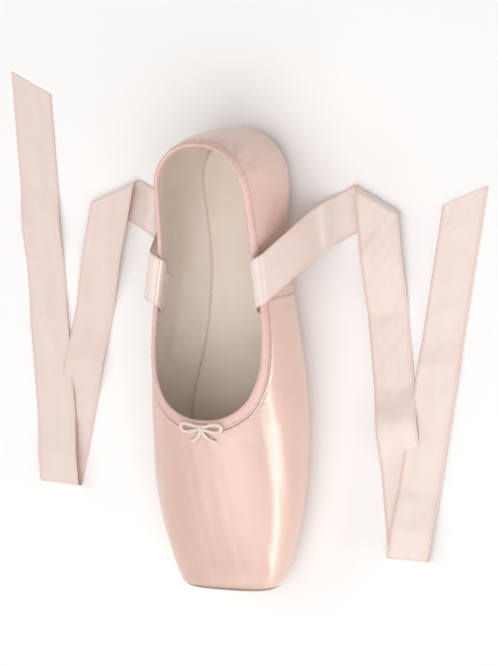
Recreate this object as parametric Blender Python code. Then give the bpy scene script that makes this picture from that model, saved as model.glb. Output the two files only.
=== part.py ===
"""Pointe shoe: satin upper over a stiff box, leather outsole, drawstring casing and ribbon ties.

The shoe stands on its sole. The toe points along -Y, the heel along +Y, and Z is up. The last is
straight, so the shoe is the same on both sides of the plane x = 0. The lengths below are in
millimetres, and they become metres where a mesh or a curve is made.
"""
import math

import bmesh
import bpy
import numpy as np

MM = 0.001

# Driving sizes of the last
LENGTH = 236.0
BALL_WIDTH = 80.0
INSTEP = 60.0
HEEL_SWING = 32.0
HEEL_AXIS = LENGTH - HEEL_SWING
HEEL_ROUND = 2.2
THROAT_AT = 85.0

# The upper's wall at the box, underneath, at the toe's tip and at the side seam
BOX_WALL = 3.0
WALL_UNDER = 1.4
TOE_WALL = 5.0
TOE_FILLET = 4.5
SEAM_AT = 152.0
SEAM_STEP = 0.4
SEAM_RAMP = 0.6

# Outsole, insole and the gap that neighbours keep
OUTSOLE_FRONT = 25.0
OUTSOLE_MARGIN = 4.0
OUTSOLE_BACK = LENGTH - OUTSOLE_MARGIN
OUTSOLE_THICK = 2.8
OUTSOLE_EDGE = 0.8
FRONT_ROUND = 38.0
OPENING_MARGIN = 6.0
INSOLE_FRONT = 24.0
INSOLE_THICK = 1.6
INSOLE_REACH = -0.4
ARCH = 1.8
GAP = 0.3

# The drawstring casing, its bow and the ribbons
BINDING_TALL = 6.0
BINDING_THICK = 2.6
BINDING_SIDES = 8
CORD = 1.7
KNOT = 2.5
BOW = 10.0
RIBBON_WIDE = 22.0
RIBBON_LONG = 500.0
RIBBON_THICK = 0.6
RIBBON_BEHIND = 6.0
RIBBON_SEWN = 15.0
RIBBON_SLANT = 22.0
RIBBON_OVER = 4.0
RIBBON_INSIDE = 0.8
RIBBON_HANG = 16.0
RIBBON_LAND = 18.0
RIBBON_CUT = 32.0
FOLD_RADIUS = 2.2
SETTLE_RADIUS = 20.0
WAVE_RADIUS = 26.0
WAVE_RISE = 14.0
FLOOR_CLEAR = 0.1

# How finely the pieces are divided: counts of a section's flat, lower and upper part, rings on the
# platform, degrees between a ribbon's lines in a bend, steps between a cord's points, and the
# knot's segments round and over it. Edges sharper than SHARP degrees stay crisp, and points nearer
# than WELD metres become one.
SECTION_COUNTS = (2, 4, 7)
PLATFORM_RINGS = 3
RIBBON_STEP = 24.0
CORD_STEPS = 3
KNOT_ROUND = 14
KNOT_OVER = 9
SHARP = 50.0
WELD = 1e-7

# Sections of the last, from the tip of the toe to the back of the heel. The columns are: at, a
# share of LENGTH; width, a share of BALL_WIDTH; lift, how far the upper stands above the outsole's
# flat, as a share of ARCH; widest and crown, the heights of the widest level and of the last's top,
# as shares of INSTEP; flat, the share of the half width that is flat underneath; low and high, the
# powers of the curve below and above the widest level; wall, a share of BOX_WALL.
SECTIONS = (
    ("at", "width", "lift", "widest", "crown", "flat", "low", "high", "wall"),
    (0.000, 0.625, 0.83, 0.290, 0.550, 0.50, 2.3, 2.7, 1.00),
    (0.040, 0.720, 0.50, 0.290, 0.600, 0.52, 2.3, 2.7, 1.00),
    (0.085, 0.805, 0.19, 0.290, 0.670, 0.56, 2.3, 2.6, 1.00),
    (0.160, 0.910, 0.03, 0.290, 0.770, 0.66, 2.2, 2.5, 0.93),
    (0.254, 0.982, 0.00, 0.290, 0.870, 0.72, 2.1, 2.4, 0.80),
    (0.360, 1.000, 0.00, 0.290, 0.960, 0.72, 2.0, 2.3, 0.60),
    (0.424, 0.985, 0.00, 0.290, 1.030, 0.68, 2.0, 2.3, 0.47),
    (0.510, 0.930, 0.33, 0.285, 1.150, 0.58, 2.0, 2.3, 0.40),
    (0.600, 0.850, 1.00, 0.290, 1.280, 0.52, 2.0, 2.3, 0.40),
    (0.680, 0.775, 0.72, 0.300, 1.370, 0.54, 2.0, 2.3, 0.40),
    (0.760, 0.725, 0.00, 0.300, 1.420, 0.64, 2.0, 2.3, 0.40),
    (0.865, 0.720, 0.00, 0.300, 1.480, 0.76, 2.0, 2.3, 0.40),
    (0.940, 0.735, 0.00, 0.300, 1.500, 0.82, 2.0, 2.3, 0.40),
    (1.000, 0.735, 0.00, 0.300, 1.500, 0.86, 2.0, 2.3, 0.40),
)

# The cut edge's height along the collar. The columns are: back, the share of the way from the
# throat to the back of the heel; height, a share of the last's height at the throat.
COLLAR = (
    ("back", "height"),
    (0.000, 1.000),
    (0.099, 0.896),
    (0.234, 0.818),
    (0.375, 0.792),
    (0.500, 0.802),
    (0.625, 0.859),
    (0.789, 0.969),
    (0.906, 1.047),
    (1.000, 1.076),
)

# Half widths of the outsole, without its round ends. The columns are: at, a share of LENGTH from
# the tip of the toe; half, a share of BALL_WIDTH.
SOLE_PLAN = (
    ("at", "half"),
    (0.000, 0.340),
    (0.310, 0.340),
    (0.400, 0.322),
    (0.500, 0.250),
    (0.600, 0.180),
    (0.690, 0.176),
    (0.780, 0.215),
    (0.865, 0.250),
    (1.000, 0.250),
)

# What each ribbon does on the floor, in order. The columns are: kind, a fold back on itself, a
# settle down towards the floor or a low wave; run, the way along its middle from the bend before,
# as a share of RIBBON_LONG; ruling, the bend's slant in degrees from square across; turn, the
# degrees of each bend; drop, how far a settle comes down, as a share of a fold's height.
RIBBON_RIGHT = (
    ("kind", "run", "ruling", "turn", "drop"),
    ("fold", 0.026, 33.0, 180.0, 0.0),
    ("settle", 0.052, 0.0, 9.0, 1.0),
    ("wave", 0.068, -5.0, 9.0, 0.0),
    ("fold", 0.088, 7.0, 180.0, 0.0),
    ("settle", 0.024, 0.0, 9.0, 0.73),
    ("settle", 0.124, 6.0, 5.0, 0.27),
)
RIBBON_LEFT = (
    ("kind", "run", "ruling", "turn", "drop"),
    ("fold", 0.028, 36.0, 180.0, 0.0),
    ("settle", 0.060, 0.0, 9.0, 1.0),
    ("wave", 0.016, 5.0, 7.0, 0.0),
    ("fold", 0.088, 8.0, 180.0, 0.0),
    ("settle", 0.024, 0.0, 9.0, 0.73),
    ("settle", 0.100, -5.0, 5.0, 0.27),
    ("wave", 0.024, 6.0, 8.0, 0.0),
)

# The knot's half sizes to the side, towards the heel and upwards, as shares of KNOT
KNOT_SIZES = (1.0, 0.84, 0.64)

# The bow's cords: to the side of the knot, towards the heel and above the casing, as shares of BOW
BOW_LOOP = ((0.30, 0.11, 0.01), (0.65, 0.24, 0.07), (0.96, 0.23, 0.04), (1.09, 0.03, -0.01),
            (0.94, -0.17, -0.02), (0.66, -0.19, 0.01), (0.30, -0.11, 0.01))
BOW_END = ((0.15, -0.36, 0.01), (0.27, -0.53, -0.05), (0.46, -0.67, -0.10), (0.69, -0.76, -0.13))


def column(table, name, share):
    """Reads one column of a table at any share along its first column.

    The curve is a monotone cubic: each row's slope is the harmonic mean of the slopes beside it,
    and zero where the column turns, so equal rows stay exactly level between them.
    """
    rows = np.array(table[1:], dtype=float)
    x = rows[:, 0]
    y = rows[:, table[0].index(name)]
    step = np.diff(x)
    rise = np.diff(y) / step
    both = rise[:-1] * rise[1:]
    middle = np.where(both > 0, 2 * both / np.where(both > 0, rise[:-1] + rise[1:], 1.0), 0.0)
    slope = np.concatenate(([rise[0]], middle, [rise[-1]]))
    share = np.clip(np.asarray(share, dtype=float), x[0], x[-1])
    k = np.clip(np.searchsorted(x, share, side="right") - 1, 0, len(step) - 1)
    q = (share - x[k]) / step[k]
    start = y[k] * (1 + 2 * q) * (1 - q) ** 2 + slope[k] * step[k] * q * (1 - q) ** 2
    end = y[k + 1] * q * q * (3 - 2 * q) - slope[k + 1] * step[k] * q * q * (1 - q)
    return start + end


def base_height(at):
    """Height of the upper's underside above the floor."""
    return OUTSOLE_THICK + GAP + ARCH * column(SECTIONS, "lift", at / LENGTH)


def round_heel(side, back, swing):
    """Distance from the heel's axis to an outline that is side wide and back long, at an angle."""
    across = np.abs(np.cos(swing)) / side
    along = np.abs(np.sin(swing)) / back
    return (across ** HEEL_ROUND + along ** HEEL_ROUND) ** (-1 / HEEL_ROUND)


def half_width(at, swing):
    """Half width of the last, or its reach from the heel's axis where the section swings."""
    straight = column(SECTIONS, "width", at / LENGTH) * BALL_WIDTH / 2
    side = column(SECTIONS, "width", HEEL_AXIS / LENGTH) * BALL_WIDTH / 2
    return np.where(swing > 0, round_heel(side, HEEL_SWING, swing), straight)


def sole_half(at, swing, inset):
    """Half width of the outsole's plan, drawn in by inset: a table with an elliptic front end."""
    wide = column(SOLE_PLAN, "half", at / LENGTH) * BALL_WIDTH - inset
    side = column(SOLE_PLAN, "half", HEEL_AXIS / LENGTH) * BALL_WIDTH - inset
    front = np.clip((at - OUTSOLE_FRONT - inset) / (FRONT_ROUND - inset), 0, 1)
    straight = wide * np.sqrt(1 - (1 - front) ** 2)
    back = OUTSOLE_BACK - HEEL_AXIS - inset
    return np.where(swing > 0, round_heel(side, back, swing), straight)


def board_half(at, swing, inset):
    """Half width of the insole: the flat under the upper, with an elliptic front end."""
    wide = column(SECTIONS, "flat", at / LENGTH) * half_width(at, swing) + INSOLE_REACH - inset
    front = np.clip((at - INSOLE_FRONT - inset) / (FRONT_ROUND - inset), 0, 1)
    return wide * np.sqrt(1 - (1 - front) ** 2)


def spaced(start, end, count, ease):
    """Places from start up to, but without, end: even, or crowded at its start, end or both."""
    q = np.arange(count) / count
    if ease == "start":
        q = 1 - np.cos(q * math.pi / 2)
    if ease == "end":
        q = np.sin(q * math.pi / 2)
    if ease == "both":
        q = (1 - np.cos(q * math.pi)) / 2
    return start + (end - start) * q


def stations(swings, quarters, vamps, boxes, tips, rounds):
    """Distances from the tip and swing angles of the sections, from the heel's back to the tip.

    The sections swing round the heel, crowd together where the throat and the lower opening
    begin, and stand close on both sides of the side seam.
    """
    swing = np.radians(90.0 * (1 - np.arange(swings) / swings))
    opening_front = OUTSOLE_FRONT + OPENING_MARGIN
    straight = np.concatenate((
        spaced(HEEL_AXIS, SEAM_AT + SEAM_RAMP, quarters, "even"),
        [SEAM_AT + SEAM_RAMP],
        spaced(SEAM_AT, THROAT_AT, vamps, "end"),
        spaced(THROAT_AT, opening_front, boxes, "both"),
        spaced(opening_front, TOE_FILLET, tips, "start"),
        TOE_FILLET * (1 - np.sin(np.arange(rounds + 1) / rounds * math.pi / 2)),
    ))
    at = np.concatenate((HEEL_AXIS + HEEL_SWING * np.sin(swing), straight))
    return at, np.concatenate((swing, np.zeros(len(straight))))


def curve_sizes(at, swing):
    """Sizes of the curve above the widest level: reach, widest level, crown, power and end angle.

    The end angle is where the power curve reaches the collar's height, or the top before THROAT_AT.
    """
    share = at / LENGTH
    widest = column(SECTIONS, "widest", share) * INSTEP
    crown = column(SECTIONS, "crown", share) * INSTEP
    throat = column(SECTIONS, "crown", THROAT_AT / LENGTH) * INSTEP
    rim = throat * column(COLLAR, "height", (at - THROAT_AT) / (LENGTH - THROAT_AT))
    high = column(SECTIONS, "high", share)
    lift = np.clip((rim - widest) / (crown - widest), 0, 1) ** (high / 2)
    cut = np.where(at > THROAT_AT, np.arcsin(lift), math.pi / 2)
    return half_width(at, swing), widest, crown, high, cut


def skin(at, swing, counts, inner):
    """Grid of points of the upper's outer or inner skin on the side x >= 0.

    Each section runs along the flat from the lower opening, up a power curve
    |x/a|^p + |z/b|^p = 1 to the widest level, and on up a second one to the collar or the top.
    The inner skin lies inside by the wall, and its tip stands back by TOE_WALL.
    """
    flats, lows, highs = counts
    behind = OUTSOLE_FRONT + OPENING_MARGIN
    tip = TOE_WALL if inner else 0.0
    own = np.where(at < behind, tip + at * (1 - tip / behind), at)
    share = own / LENGTH
    edge = np.clip(TOE_FILLET - (own - tip), 0, TOE_FILLET)
    inset = TOE_FILLET - np.sqrt(TOE_FILLET ** 2 - edge ** 2)
    half, widest, crown, high, cut = curve_sizes(own, swing)
    low = column(SECTIONS, "low", share)[:, None]
    flat = np.maximum(column(SECTIONS, "flat", share) * half - inset, 0)
    base = base_height(own) + inset
    crown = crown - inset
    reach = half - inset - SEAM_STEP * np.clip((at - SEAM_AT) / SEAM_RAMP, 0, 1)
    if inner:
        thick = column(SECTIONS, "wall", share) * BOX_WALL
        base = base + WALL_UNDER
        crown = crown - thick
        reach = half - inset - thick - SEAM_STEP
    opening = np.where(at > behind, sole_half(at, swing, OPENING_MARGIN), 0.0)
    part = (np.arange(flats) / flats)[None, :]
    x_flat = opening[:, None] + (flat - opening)[:, None] * part
    z_flat = base[:, None] + 0 * part
    turn = (np.arange(lows) / lows * math.pi / 2)[None, :]
    x_low = flat[:, None] + (reach - flat)[:, None] * np.sin(turn) ** (2 / low)
    z_low = widest[:, None] - (widest - base)[:, None] * np.cos(turn) ** (2 / low)
    turn = (np.arange(highs + 1) / highs)[None, :] * cut[:, None]
    x_high = reach[:, None] * np.abs(np.cos(turn)) ** (2 / high[:, None])
    z_high = widest[:, None] + (crown - widest)[:, None] * np.sin(turn) ** (2 / high[:, None])
    x = np.concatenate((x_flat, x_low, x_high), axis=1)
    z = np.concatenate((z_flat, z_low, z_high), axis=1)
    x[at <= THROAT_AT, -1] = 0.0
    swung = (swing > 0)[:, None]
    y = np.where(swung, HEEL_AXIS + x * np.sin(swing)[:, None], own[:, None])
    x = x * np.cos(swing)[:, None]
    x[0] = 0.0
    return np.stack((x, y, z), axis=2)


def collar_normals(at, swing):
    """Normals of the outer skin at the collar, from the slope of the power curve.

    Across a section the normal is (cos^(2-2/p) / a, sin^(2-2/p) / b), and lengthways it leans by
    how fast the curve's sizes change.
    """
    half, widest, crown, high, cut = curve_sizes(at, swing)
    after = curve_sizes(at + 1, swing)
    before = curve_sizes(at - 1, swing)
    side = np.abs(np.cos(cut)) ** (2 - 2 / high) / half
    top = np.sin(cut) ** (2 - 2 / high) / (crown - widest)
    wider = (after[0] - before[0]) / 2 * np.abs(np.cos(cut)) ** (2 / high)
    taller = (after[2] - before[2]) / 2 * np.sin(cut) ** (2 / high)
    along = np.where(swing > 0, side * np.sin(swing), -side * wider - top * taller)
    normal = np.stack((side * np.cos(swing), along, top), axis=1)
    return normal / np.linalg.norm(normal, axis=1)[:, None]


def capped(grid, rings):
    """Adds rings to a skin that close the platform, shrinking its last section to one point."""
    last = grid[-1]
    middle = np.array((0.0, last[0, 1], (last[0, 2] + last[-1, 2]) / 2))
    caps = [middle + (last - middle) * (1 - k / rings) for k in range(1, rings + 1)]
    return np.concatenate((grid, np.array(caps)))


def placed(points):
    """Turns (x, distance from the tip, z) in millimetres into world metres, about the middle."""
    middle = (LENGTH - SEAM_STEP) / 2
    return (np.asarray(points, dtype=float) - (0, middle, 0)) * MM


def make_object(name, points, faces, material, smooth=True):
    """Makes one closed mesh object: welds its seams, and turns its faces outwards."""
    mesh = bpy.data.meshes.new(name)
    mesh.from_pydata([tuple(p) for p in placed(points)], [], faces)
    build = bmesh.new()
    build.from_mesh(mesh)
    bmesh.ops.remove_doubles(build, verts=build.verts, dist=WELD)
    bmesh.ops.recalc_face_normals(build, faces=build.faces)
    build.to_mesh(mesh)
    build.free()
    if smooth:
        mesh.shade_smooth()
        mesh.set_sharp_from_angle(angle=math.radians(SHARP))
    mesh.materials.append(material)
    thing = bpy.data.objects.new(name, mesh)
    bpy.context.scene.collection.objects.link(thing)
    return thing


def make_material(name, color, roughness):
    """Makes a Principled material with one colour."""
    material = bpy.data.materials.new(name)
    material.use_nodes = True
    shader = material.node_tree.nodes["Principled BSDF"]
    shader.inputs["Base Color"].default_value = (*color, 1)
    shader.inputs["Roughness"].default_value = roughness
    shader.inputs["Metallic"].default_value = 0.0
    material.diffuse_color = (*color, 1)
    return material


def grid_faces(rows, columns, first):
    """Quads of a grid of points that is stored row by row from the index first."""
    return [
        (first + r * columns + c, first + r * columns + c + 1,
         first + (r + 1) * columns + c + 1, first + (r + 1) * columns + c)
        for r in range(rows - 1) for c in range(columns - 1)
    ]


def build_upper(at, swing, counts, material):
    """The upper: its outer and inner skins on both sides, joined round both cut edges."""
    outer = capped(skin(at, swing, counts, False), PLATFORM_RINGS)
    inner = capped(skin(at, swing, counts, True), PLATFORM_RINGS)
    mirror = np.array((-1.0, 1.0, 1.0))
    points = []
    faces = []
    rows, columns = outer.shape[:2]
    collar = int(np.sum(at > THROAT_AT)) + 1
    under = int(np.sum(at > OUTSOLE_FRONT + OPENING_MARGIN)) + 1
    for side in (np.ones(3), mirror):
        first = len(points)
        for grid in (outer, inner):
            faces += grid_faces(rows, columns, len(points))
            points += list((grid * side).reshape(-1, 3))
        inside = rows * columns
        for edge, count in ((columns - 1, collar), (0, under)):
            line = [first + r * columns + edge for r in range(count)]
            faces += [(a, b, b + inside, a + inside) for a, b in zip(line[:-1], line[1:])]
    return make_object("upper", points, faces, material)


def plan_ring(reach, counts):
    """Points (x, at) of a plan outline: one side from its front to its back, then the other."""
    ends, middle, swings, front = counts
    at = np.concatenate((
        spaced(front, front + FRONT_ROUND, ends, "start"),
        spaced(front + FRONT_ROUND, HEEL_AXIS, middle, "even"),
        HEEL_AXIS + HEEL_SWING * np.sin(np.radians(90.0 * np.arange(swings + 1) / swings)),
    ))
    swing = np.radians(90.0 * np.arange(swings + 1) / swings)
    swing = np.concatenate((np.zeros(ends + middle), swing))
    distance = reach(at, swing)
    x = distance * np.cos(swing)
    y = np.where(swing > 0, HEEL_AXIS + distance * np.sin(swing), at)
    x[[0, -1]] = 0.0
    right = np.stack((x, y), axis=1)
    left = (right * (-1, 1))[::-1][1:-1]
    return np.concatenate((right, left))


def build_board(name, ring, layers, material):
    """A thin board: the ring drawn in and set at each layer's height above or below the last.

    Each layer is (inset, rise), and the height follows the last's base line along the shoe.
    """
    count = len(ring)
    along = np.roll(ring, -1, axis=0) - np.roll(ring, 1, axis=0)
    outward = np.stack((along[:, 1], -along[:, 0]), axis=1)
    outward /= np.linalg.norm(outward, axis=1)[:, None]
    points = []
    for inset, rise in layers:
        flat = ring - outward * inset
        flat[[0, count // 2], 0] = 0.0
        height = base_height(flat[:, 1]) + rise
        points += list(np.column_stack((flat, height)))
    faces = []
    for layer in range(len(layers) - 1):
        low = layer * count
        faces += [
            (low + k, low + (k + 1) % count, low + count + (k + 1) % count, low + count + k)
            for k in range(count)
        ]
    for first in (0, (len(layers) - 1) * count):
        faces += [
            tuple(dict.fromkeys((first + k, first + k + 1, first + (count - k - 1) % count,
                                 first + (count - k) % count)))
            for k in range(count // 2)
        ]
    return make_object(name, points, faces, material)


def collar_frame(at, swing, counts):
    """Middle of the wall along the collar, the wall's normal and the way into the opening.

    The rows run round the whole collar: from the heel's back along the side x >= 0 to the throat,
    and back along the other side. The way into the opening is the tangent crossed with the normal.
    """
    count = int(np.sum(at > THROAT_AT)) + 1
    outer = skin(at, swing, counts, False)[:count, -1]
    inner = skin(at, swing, counts, True)[:count, -1]
    mirror = np.array((-1.0, 1.0, 1.0))

    def around(half):
        return np.concatenate((half, (half * mirror)[::-1][1:-1]))

    middle = around((outer + inner) / 2)
    normal = around(collar_normals(at[:count], swing[:count]))
    tangent = np.roll(middle, -1, axis=0) - np.roll(middle, 1, axis=0)
    inward = np.cross(tangent, normal)
    inward /= np.linalg.norm(inward, axis=1)[:, None]
    return middle, np.cross(inward, tangent / np.linalg.norm(tangent, axis=1)[:, None]), inward


def build_binding(frame, material):
    """The drawstring casing: an oval tube that carries the wall on past its cut edge."""
    middle, normal, inward = frame
    centre = middle + inward * (GAP + BINDING_TALL / 2)
    turn = np.arange(BINDING_SIDES) / BINDING_SIDES * 2 * math.pi
    tall = np.cos(turn)[None, :, None] * BINDING_TALL / 2
    thick = np.sin(turn)[None, :, None] * BINDING_THICK / 2
    grid = centre[:, None] + inward[:, None] * tall + normal[:, None] * thick
    count = len(middle)
    faces = [
        (r * BINDING_SIDES + c, r * BINDING_SIDES + (c + 1) % BINDING_SIDES,
         (r + 1) % count * BINDING_SIDES + (c + 1) % BINDING_SIDES, (r + 1) % count * BINDING_SIDES + c)
        for r in range(count) for c in range(BINDING_SIDES)
    ]
    return make_object("binding", grid.reshape(-1, 3), faces, material)


def floor_bends(moves):
    """Turns a ribbon's table of moves on the floor into bends (run, ruling, radius, turn).

    A fold turns the strip over, so what was up is down for the bends after it. A settle is two
    equal bends, and the straight between them follows from its drop.
    """
    bends = []
    up = -1.0
    for kind, share, ruling, turn, drop in moves[1:]:
        run = share * RIBBON_LONG
        if kind == "fold":
            bends.append((run, ruling, FOLD_RADIUS, up * turn))
            up = -up
        if kind == "settle":
            angle = math.radians(turn)
            height = drop * 2 * FOLD_RADIUS
            straight = (height - 2 * SETTLE_RADIUS * (1 - math.cos(angle))) / math.sin(angle)
            bends.append((run, ruling, SETTLE_RADIUS, -up * turn))
            bends.append((straight, ruling, SETTLE_RADIUS, up * turn))
        if kind == "wave":
            bends.append((run, ruling, WAVE_RADIUS, up * turn))
            bends.append((WAVE_RISE, ruling, WAVE_RADIUS, -2 * up * turn))
            bends.append((WAVE_RISE, ruling, WAVE_RADIUS, up * turn))
    return bends


def ribbon_bends(start_height, lean, moves):
    """All bends of a ribbon as (place along its middle, ruling, radius, turn).

    It rises inside the wall, turns over the casing, hangs down to the floor at RIBBON_HANG from
    upright and lies down. The free length that hangs follows from the height that is left.
    """
    hang = math.pi - math.radians(RIBBON_HANG)
    slant = math.radians(RIBBON_SLANT)
    level = FLOOR_CLEAR + RIBBON_THICK / 2
    over = RIBBON_OVER * (math.sin(hang) + math.sin(lean))
    land = RIBBON_LAND * (math.sin(hang) - 1)
    drop = (start_height + over + land - level) / -math.cos(hang)
    rows = [
        (RIBBON_SEWN / math.cos(slant), RIBBON_SLANT, RIBBON_OVER, math.degrees(hang + lean)),
        (drop / math.cos(slant), RIBBON_SLANT, RIBBON_LAND, -math.degrees(hang - math.pi / 2)),
    ]
    place = 0.0
    bends = []
    for run, ruling, radius, turn in rows + floor_bends(moves):
        place += run
        bends.append((place, ruling, radius, turn))
        place += radius * math.radians(abs(turn)) / math.cos(math.radians(ruling))
    return bends


def bend_strip(flat, bends):
    """Carries points (along, across, off) of a flat strip through its bends without stretching it.

    Each bend rolls the strip round a cylinder of its radius whose axis lies along the ruling.
    The last bend is made first, so each one turns all of the strip beyond it as one piece.
    """
    moved = flat.copy()
    for place, ruling, radius, turn in reversed(bends):
        g = math.radians(ruling)
        sign = math.copysign(1.0, turn)
        whole = math.radians(abs(turn))
        beyond = (flat[:, 0] - place) * math.cos(g) - flat[:, 1] * math.sin(g)
        along = (moved[:, 0] - place) * math.cos(g) - moved[:, 1] * math.sin(g)
        across = (moved[:, 0] - place) * math.sin(g) + moved[:, 1] * math.cos(g)
        off = moved[:, 2] * sign
        angle = np.clip(beyond / radius, 0, whole)
        rest = along - np.clip(beyond, 0, radius * whole)
        new_along = radius * np.sin(angle) + rest * np.cos(angle) - off * np.sin(angle)
        new_off = radius * (1 - np.cos(angle)) + rest * np.sin(angle) + off * np.cos(angle)
        moved[:, 0] = place + new_along * math.cos(g) + across * math.sin(g)
        moved[:, 1] = across * math.cos(g) - new_along * math.sin(g)
        moved[:, 2] = new_off * sign
    return moved


def ribbon_lines(bends, step):
    """Straight lines (place, ruling) across the strip: close together in a bend, far in between."""
    lines = [(0.0, 0.0)]
    for place, ruling, radius, turn in bends:
        whole = math.radians(abs(turn))
        length = radius * whole / math.cos(math.radians(ruling))
        count = max(2, math.ceil(math.degrees(whole) / step))
        lines += [(place + length * k / count, ruling) for k in range(count + 1)]
    lines.append((RIBBON_LONG - RIBBON_WIDE / 2 * math.tan(math.radians(RIBBON_CUT)), RIBBON_CUT))
    return lines


def build_ribbon(name, side, frame, moves, material):
    """One ribbon as a thin closed strip, set against the inside of the wall behind the seam."""
    middle, normal, inward = frame
    rows = len(middle) // 2
    tangent = np.roll(middle, -1, axis=0) - np.roll(middle, 1, axis=0)
    order = np.argsort(middle[:rows, 1])

    def read(values):
        columns = values[:rows][order].T
        return np.array([np.interp(SEAM_AT + RIBBON_BEHIND, middle[:rows, 1][order], c) for c in columns])

    edge = read(middle)
    across = read(tangent) * (1, 1, 0)
    across /= np.linalg.norm(across)
    up = read(inward)
    up -= across * np.dot(up, across)
    up /= np.linalg.norm(up)
    out = np.cross(up, across)
    lean = math.atan2(-(up[0] * -across[1] + up[1] * across[0]), up[2])
    off = BINDING_THICK / 2 + RIBBON_INSIDE + RIBBON_THICK / 2
    start = edge + up * (GAP + BINDING_TALL) - out * off
    bends = ribbon_bends(start[2], lean, moves)
    g = math.radians(RIBBON_SLANT)
    long_axis = up * math.cos(g) + across * math.sin(-g)
    wide_axis = up * math.sin(g) + across * math.cos(g)
    bends = [(p, -r, radius, t) if k < 2 else (p, r, radius, t)
             for k, (p, r, radius, t) in enumerate(bends)]
    lines = ribbon_lines(bends, RIBBON_STEP)
    flat = []
    for place, ruling in lines:
        for off_axis in (-RIBBON_THICK / 2, RIBBON_THICK / 2):
            for wide in (-RIBBON_WIDE / 2, RIBBON_WIDE / 2):
                flat.append((place + wide * math.tan(math.radians(ruling)), wide, off_axis))
    moved = bend_strip(np.array(flat), bends)
    moved[:, 0] -= RIBBON_SEWN / math.cos(g)
    points = start + moved[:, :1] * long_axis + moved[:, 1:2] * wide_axis + moved[:, 2:] * out
    points[:, 0] *= side
    faces = [(0, 1, 3, 2)]
    for k in range(len(lines) - 1):
        a = 4 * k
        faces += [(a + i, a + j, a + 4 + j, a + 4 + i) for i, j in ((0, 1), (1, 3), (3, 2), (2, 0))]
    last = 4 * (len(lines) - 1)
    faces.append((last, last + 1, last + 3, last + 2))
    return make_object(name, points, faces, material, smooth=False)


def smooth_route(points, steps):
    """A smooth curve through the points, by the Catmull-Rom formula."""
    p = np.array([points[0], *points, points[-1]], dtype=float)
    route = []
    for k in range(1, len(p) - 2):
        for q in np.arange(steps) / steps:
            a = 2 * p[k]
            b = (p[k + 1] - p[k - 1]) * q
            c = (2 * p[k - 1] - 5 * p[k] + 4 * p[k + 1] - p[k + 2]) * q ** 2
            d = (3 * p[k] - p[k - 1] - 3 * p[k + 1] + p[k + 2]) * q ** 3
            route.append((a + b + c + d) / 2)
    return np.array(route + [p[-2]])


def build_cord(name, route, material):
    """A round cord along a route, with closed ends."""
    curve = bpy.data.curves.new(name, "CURVE")
    curve.dimensions = "3D"
    curve.bevel_depth = CORD / 2 * MM
    curve.bevel_resolution = 2
    curve.use_fill_caps = True
    spline = curve.splines.new("POLY")
    spline.points.add(len(route) - 1)
    for point, place in zip(spline.points, placed(route)):
        point.co = (*place, 1)
    curve.materials.append(material)
    thing = bpy.data.objects.new(name, curve)
    bpy.context.scene.collection.objects.link(thing)
    return thing


def build_bow(frame, material):
    """The drawstring's bow on the casing at the throat: a knot, two loops and two ends."""
    middle, normal, inward = frame
    throat = len(middle) // 2
    up = normal[throat]
    back = inward[throat]
    knot = KNOT * np.array(KNOT_SIZES)
    seat = middle[throat] + back * (GAP + BINDING_TALL / 2) + up * (BINDING_THICK / 2 + GAP + knot[2])
    build = bmesh.new()
    bmesh.ops.create_uvsphere(build, u_segments=KNOT_ROUND, v_segments=KNOT_OVER, radius=1.0)
    axes = np.array(((1, 0, 0), back, up)) * knot[:, None]
    points = [seat + np.array(v.co) @ axes for v in build.verts]
    build.verts.index_update()
    faces = [tuple(v.index for v in f.verts) for f in build.faces]
    build.free()
    pieces = [make_object("bow_knot", points, faces, material)]
    for word, side in (("right", 1.0), ("left", -1.0)):
        for part, route in (("loop", BOW_LOOP), ("end", BOW_END)):
            curve = smooth_route(route, CORD_STEPS) * BOW
            line = seat + side * curve[:, :1] * (1, 0, 0) + curve[:, 1:2] * back + curve[:, 2:] * up
            pieces.append(build_cord(f"bow_{part}_{word}", line, material))
    return pieces


def main():
    """Builds every piece of the shoe."""
    for thing in list(bpy.data.objects):
        bpy.data.objects.remove(thing)
    satin = make_material("satin", (0.83, 0.58, 0.48), 0.35)
    casing = make_material("casing_satin", (0.80, 0.50, 0.44), 0.45)
    leather = make_material("sole_leather", (0.62, 0.47, 0.33), 0.65)
    board = make_material("sock_lining", (0.80, 0.72, 0.64), 0.8)
    ribbon = make_material("ribbon_satin", (0.86, 0.64, 0.55), 0.3)
    cord = make_material("bow_cord", (0.86, 0.72, 0.62), 0.6)
    at, swing = stations(swings=9, quarters=4, vamps=9, boxes=8, tips=5, rounds=3)
    build_upper(at, swing, SECTION_COUNTS, satin)
    build_board("outsole", plan_ring(lambda a, s: sole_half(a, s, 0.0), (7, 14, 9, OUTSOLE_FRONT)), (
        (OUTSOLE_EDGE, -GAP - OUTSOLE_THICK),
        (0.0, -GAP - OUTSOLE_THICK + OUTSOLE_EDGE),
        (0.0, -GAP - OUTSOLE_EDGE / 2),
        (OUTSOLE_EDGE / 2, -GAP),
    ), leather)
    build_board("insole", plan_ring(lambda a, s: board_half(a, s, 0.0), (6, 12, 8, INSOLE_FRONT)), (
        (0.0, WALL_UNDER + GAP),
        (0.0, WALL_UNDER + GAP + INSOLE_THICK),
    ), board)
    frame = collar_frame(at, swing, SECTION_COUNTS)
    build_binding(frame, casing)
    build_ribbon("ribbon_right", 1.0, frame, RIBBON_RIGHT, ribbon)
    build_ribbon("ribbon_left", -1.0, frame, RIBBON_LEFT, ribbon)
    build_bow(frame, cord)


main()
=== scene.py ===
# %% [markdown]
# # A pointe shoe, finished in satin
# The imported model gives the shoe's solids in metres. This lesson repeats the sizes of its last,
# works out finer surfaces on the same shape, and gives each one the finish of the real material.
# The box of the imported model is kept, because the finished shoe has to fill the same space.

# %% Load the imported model
import math

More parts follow.
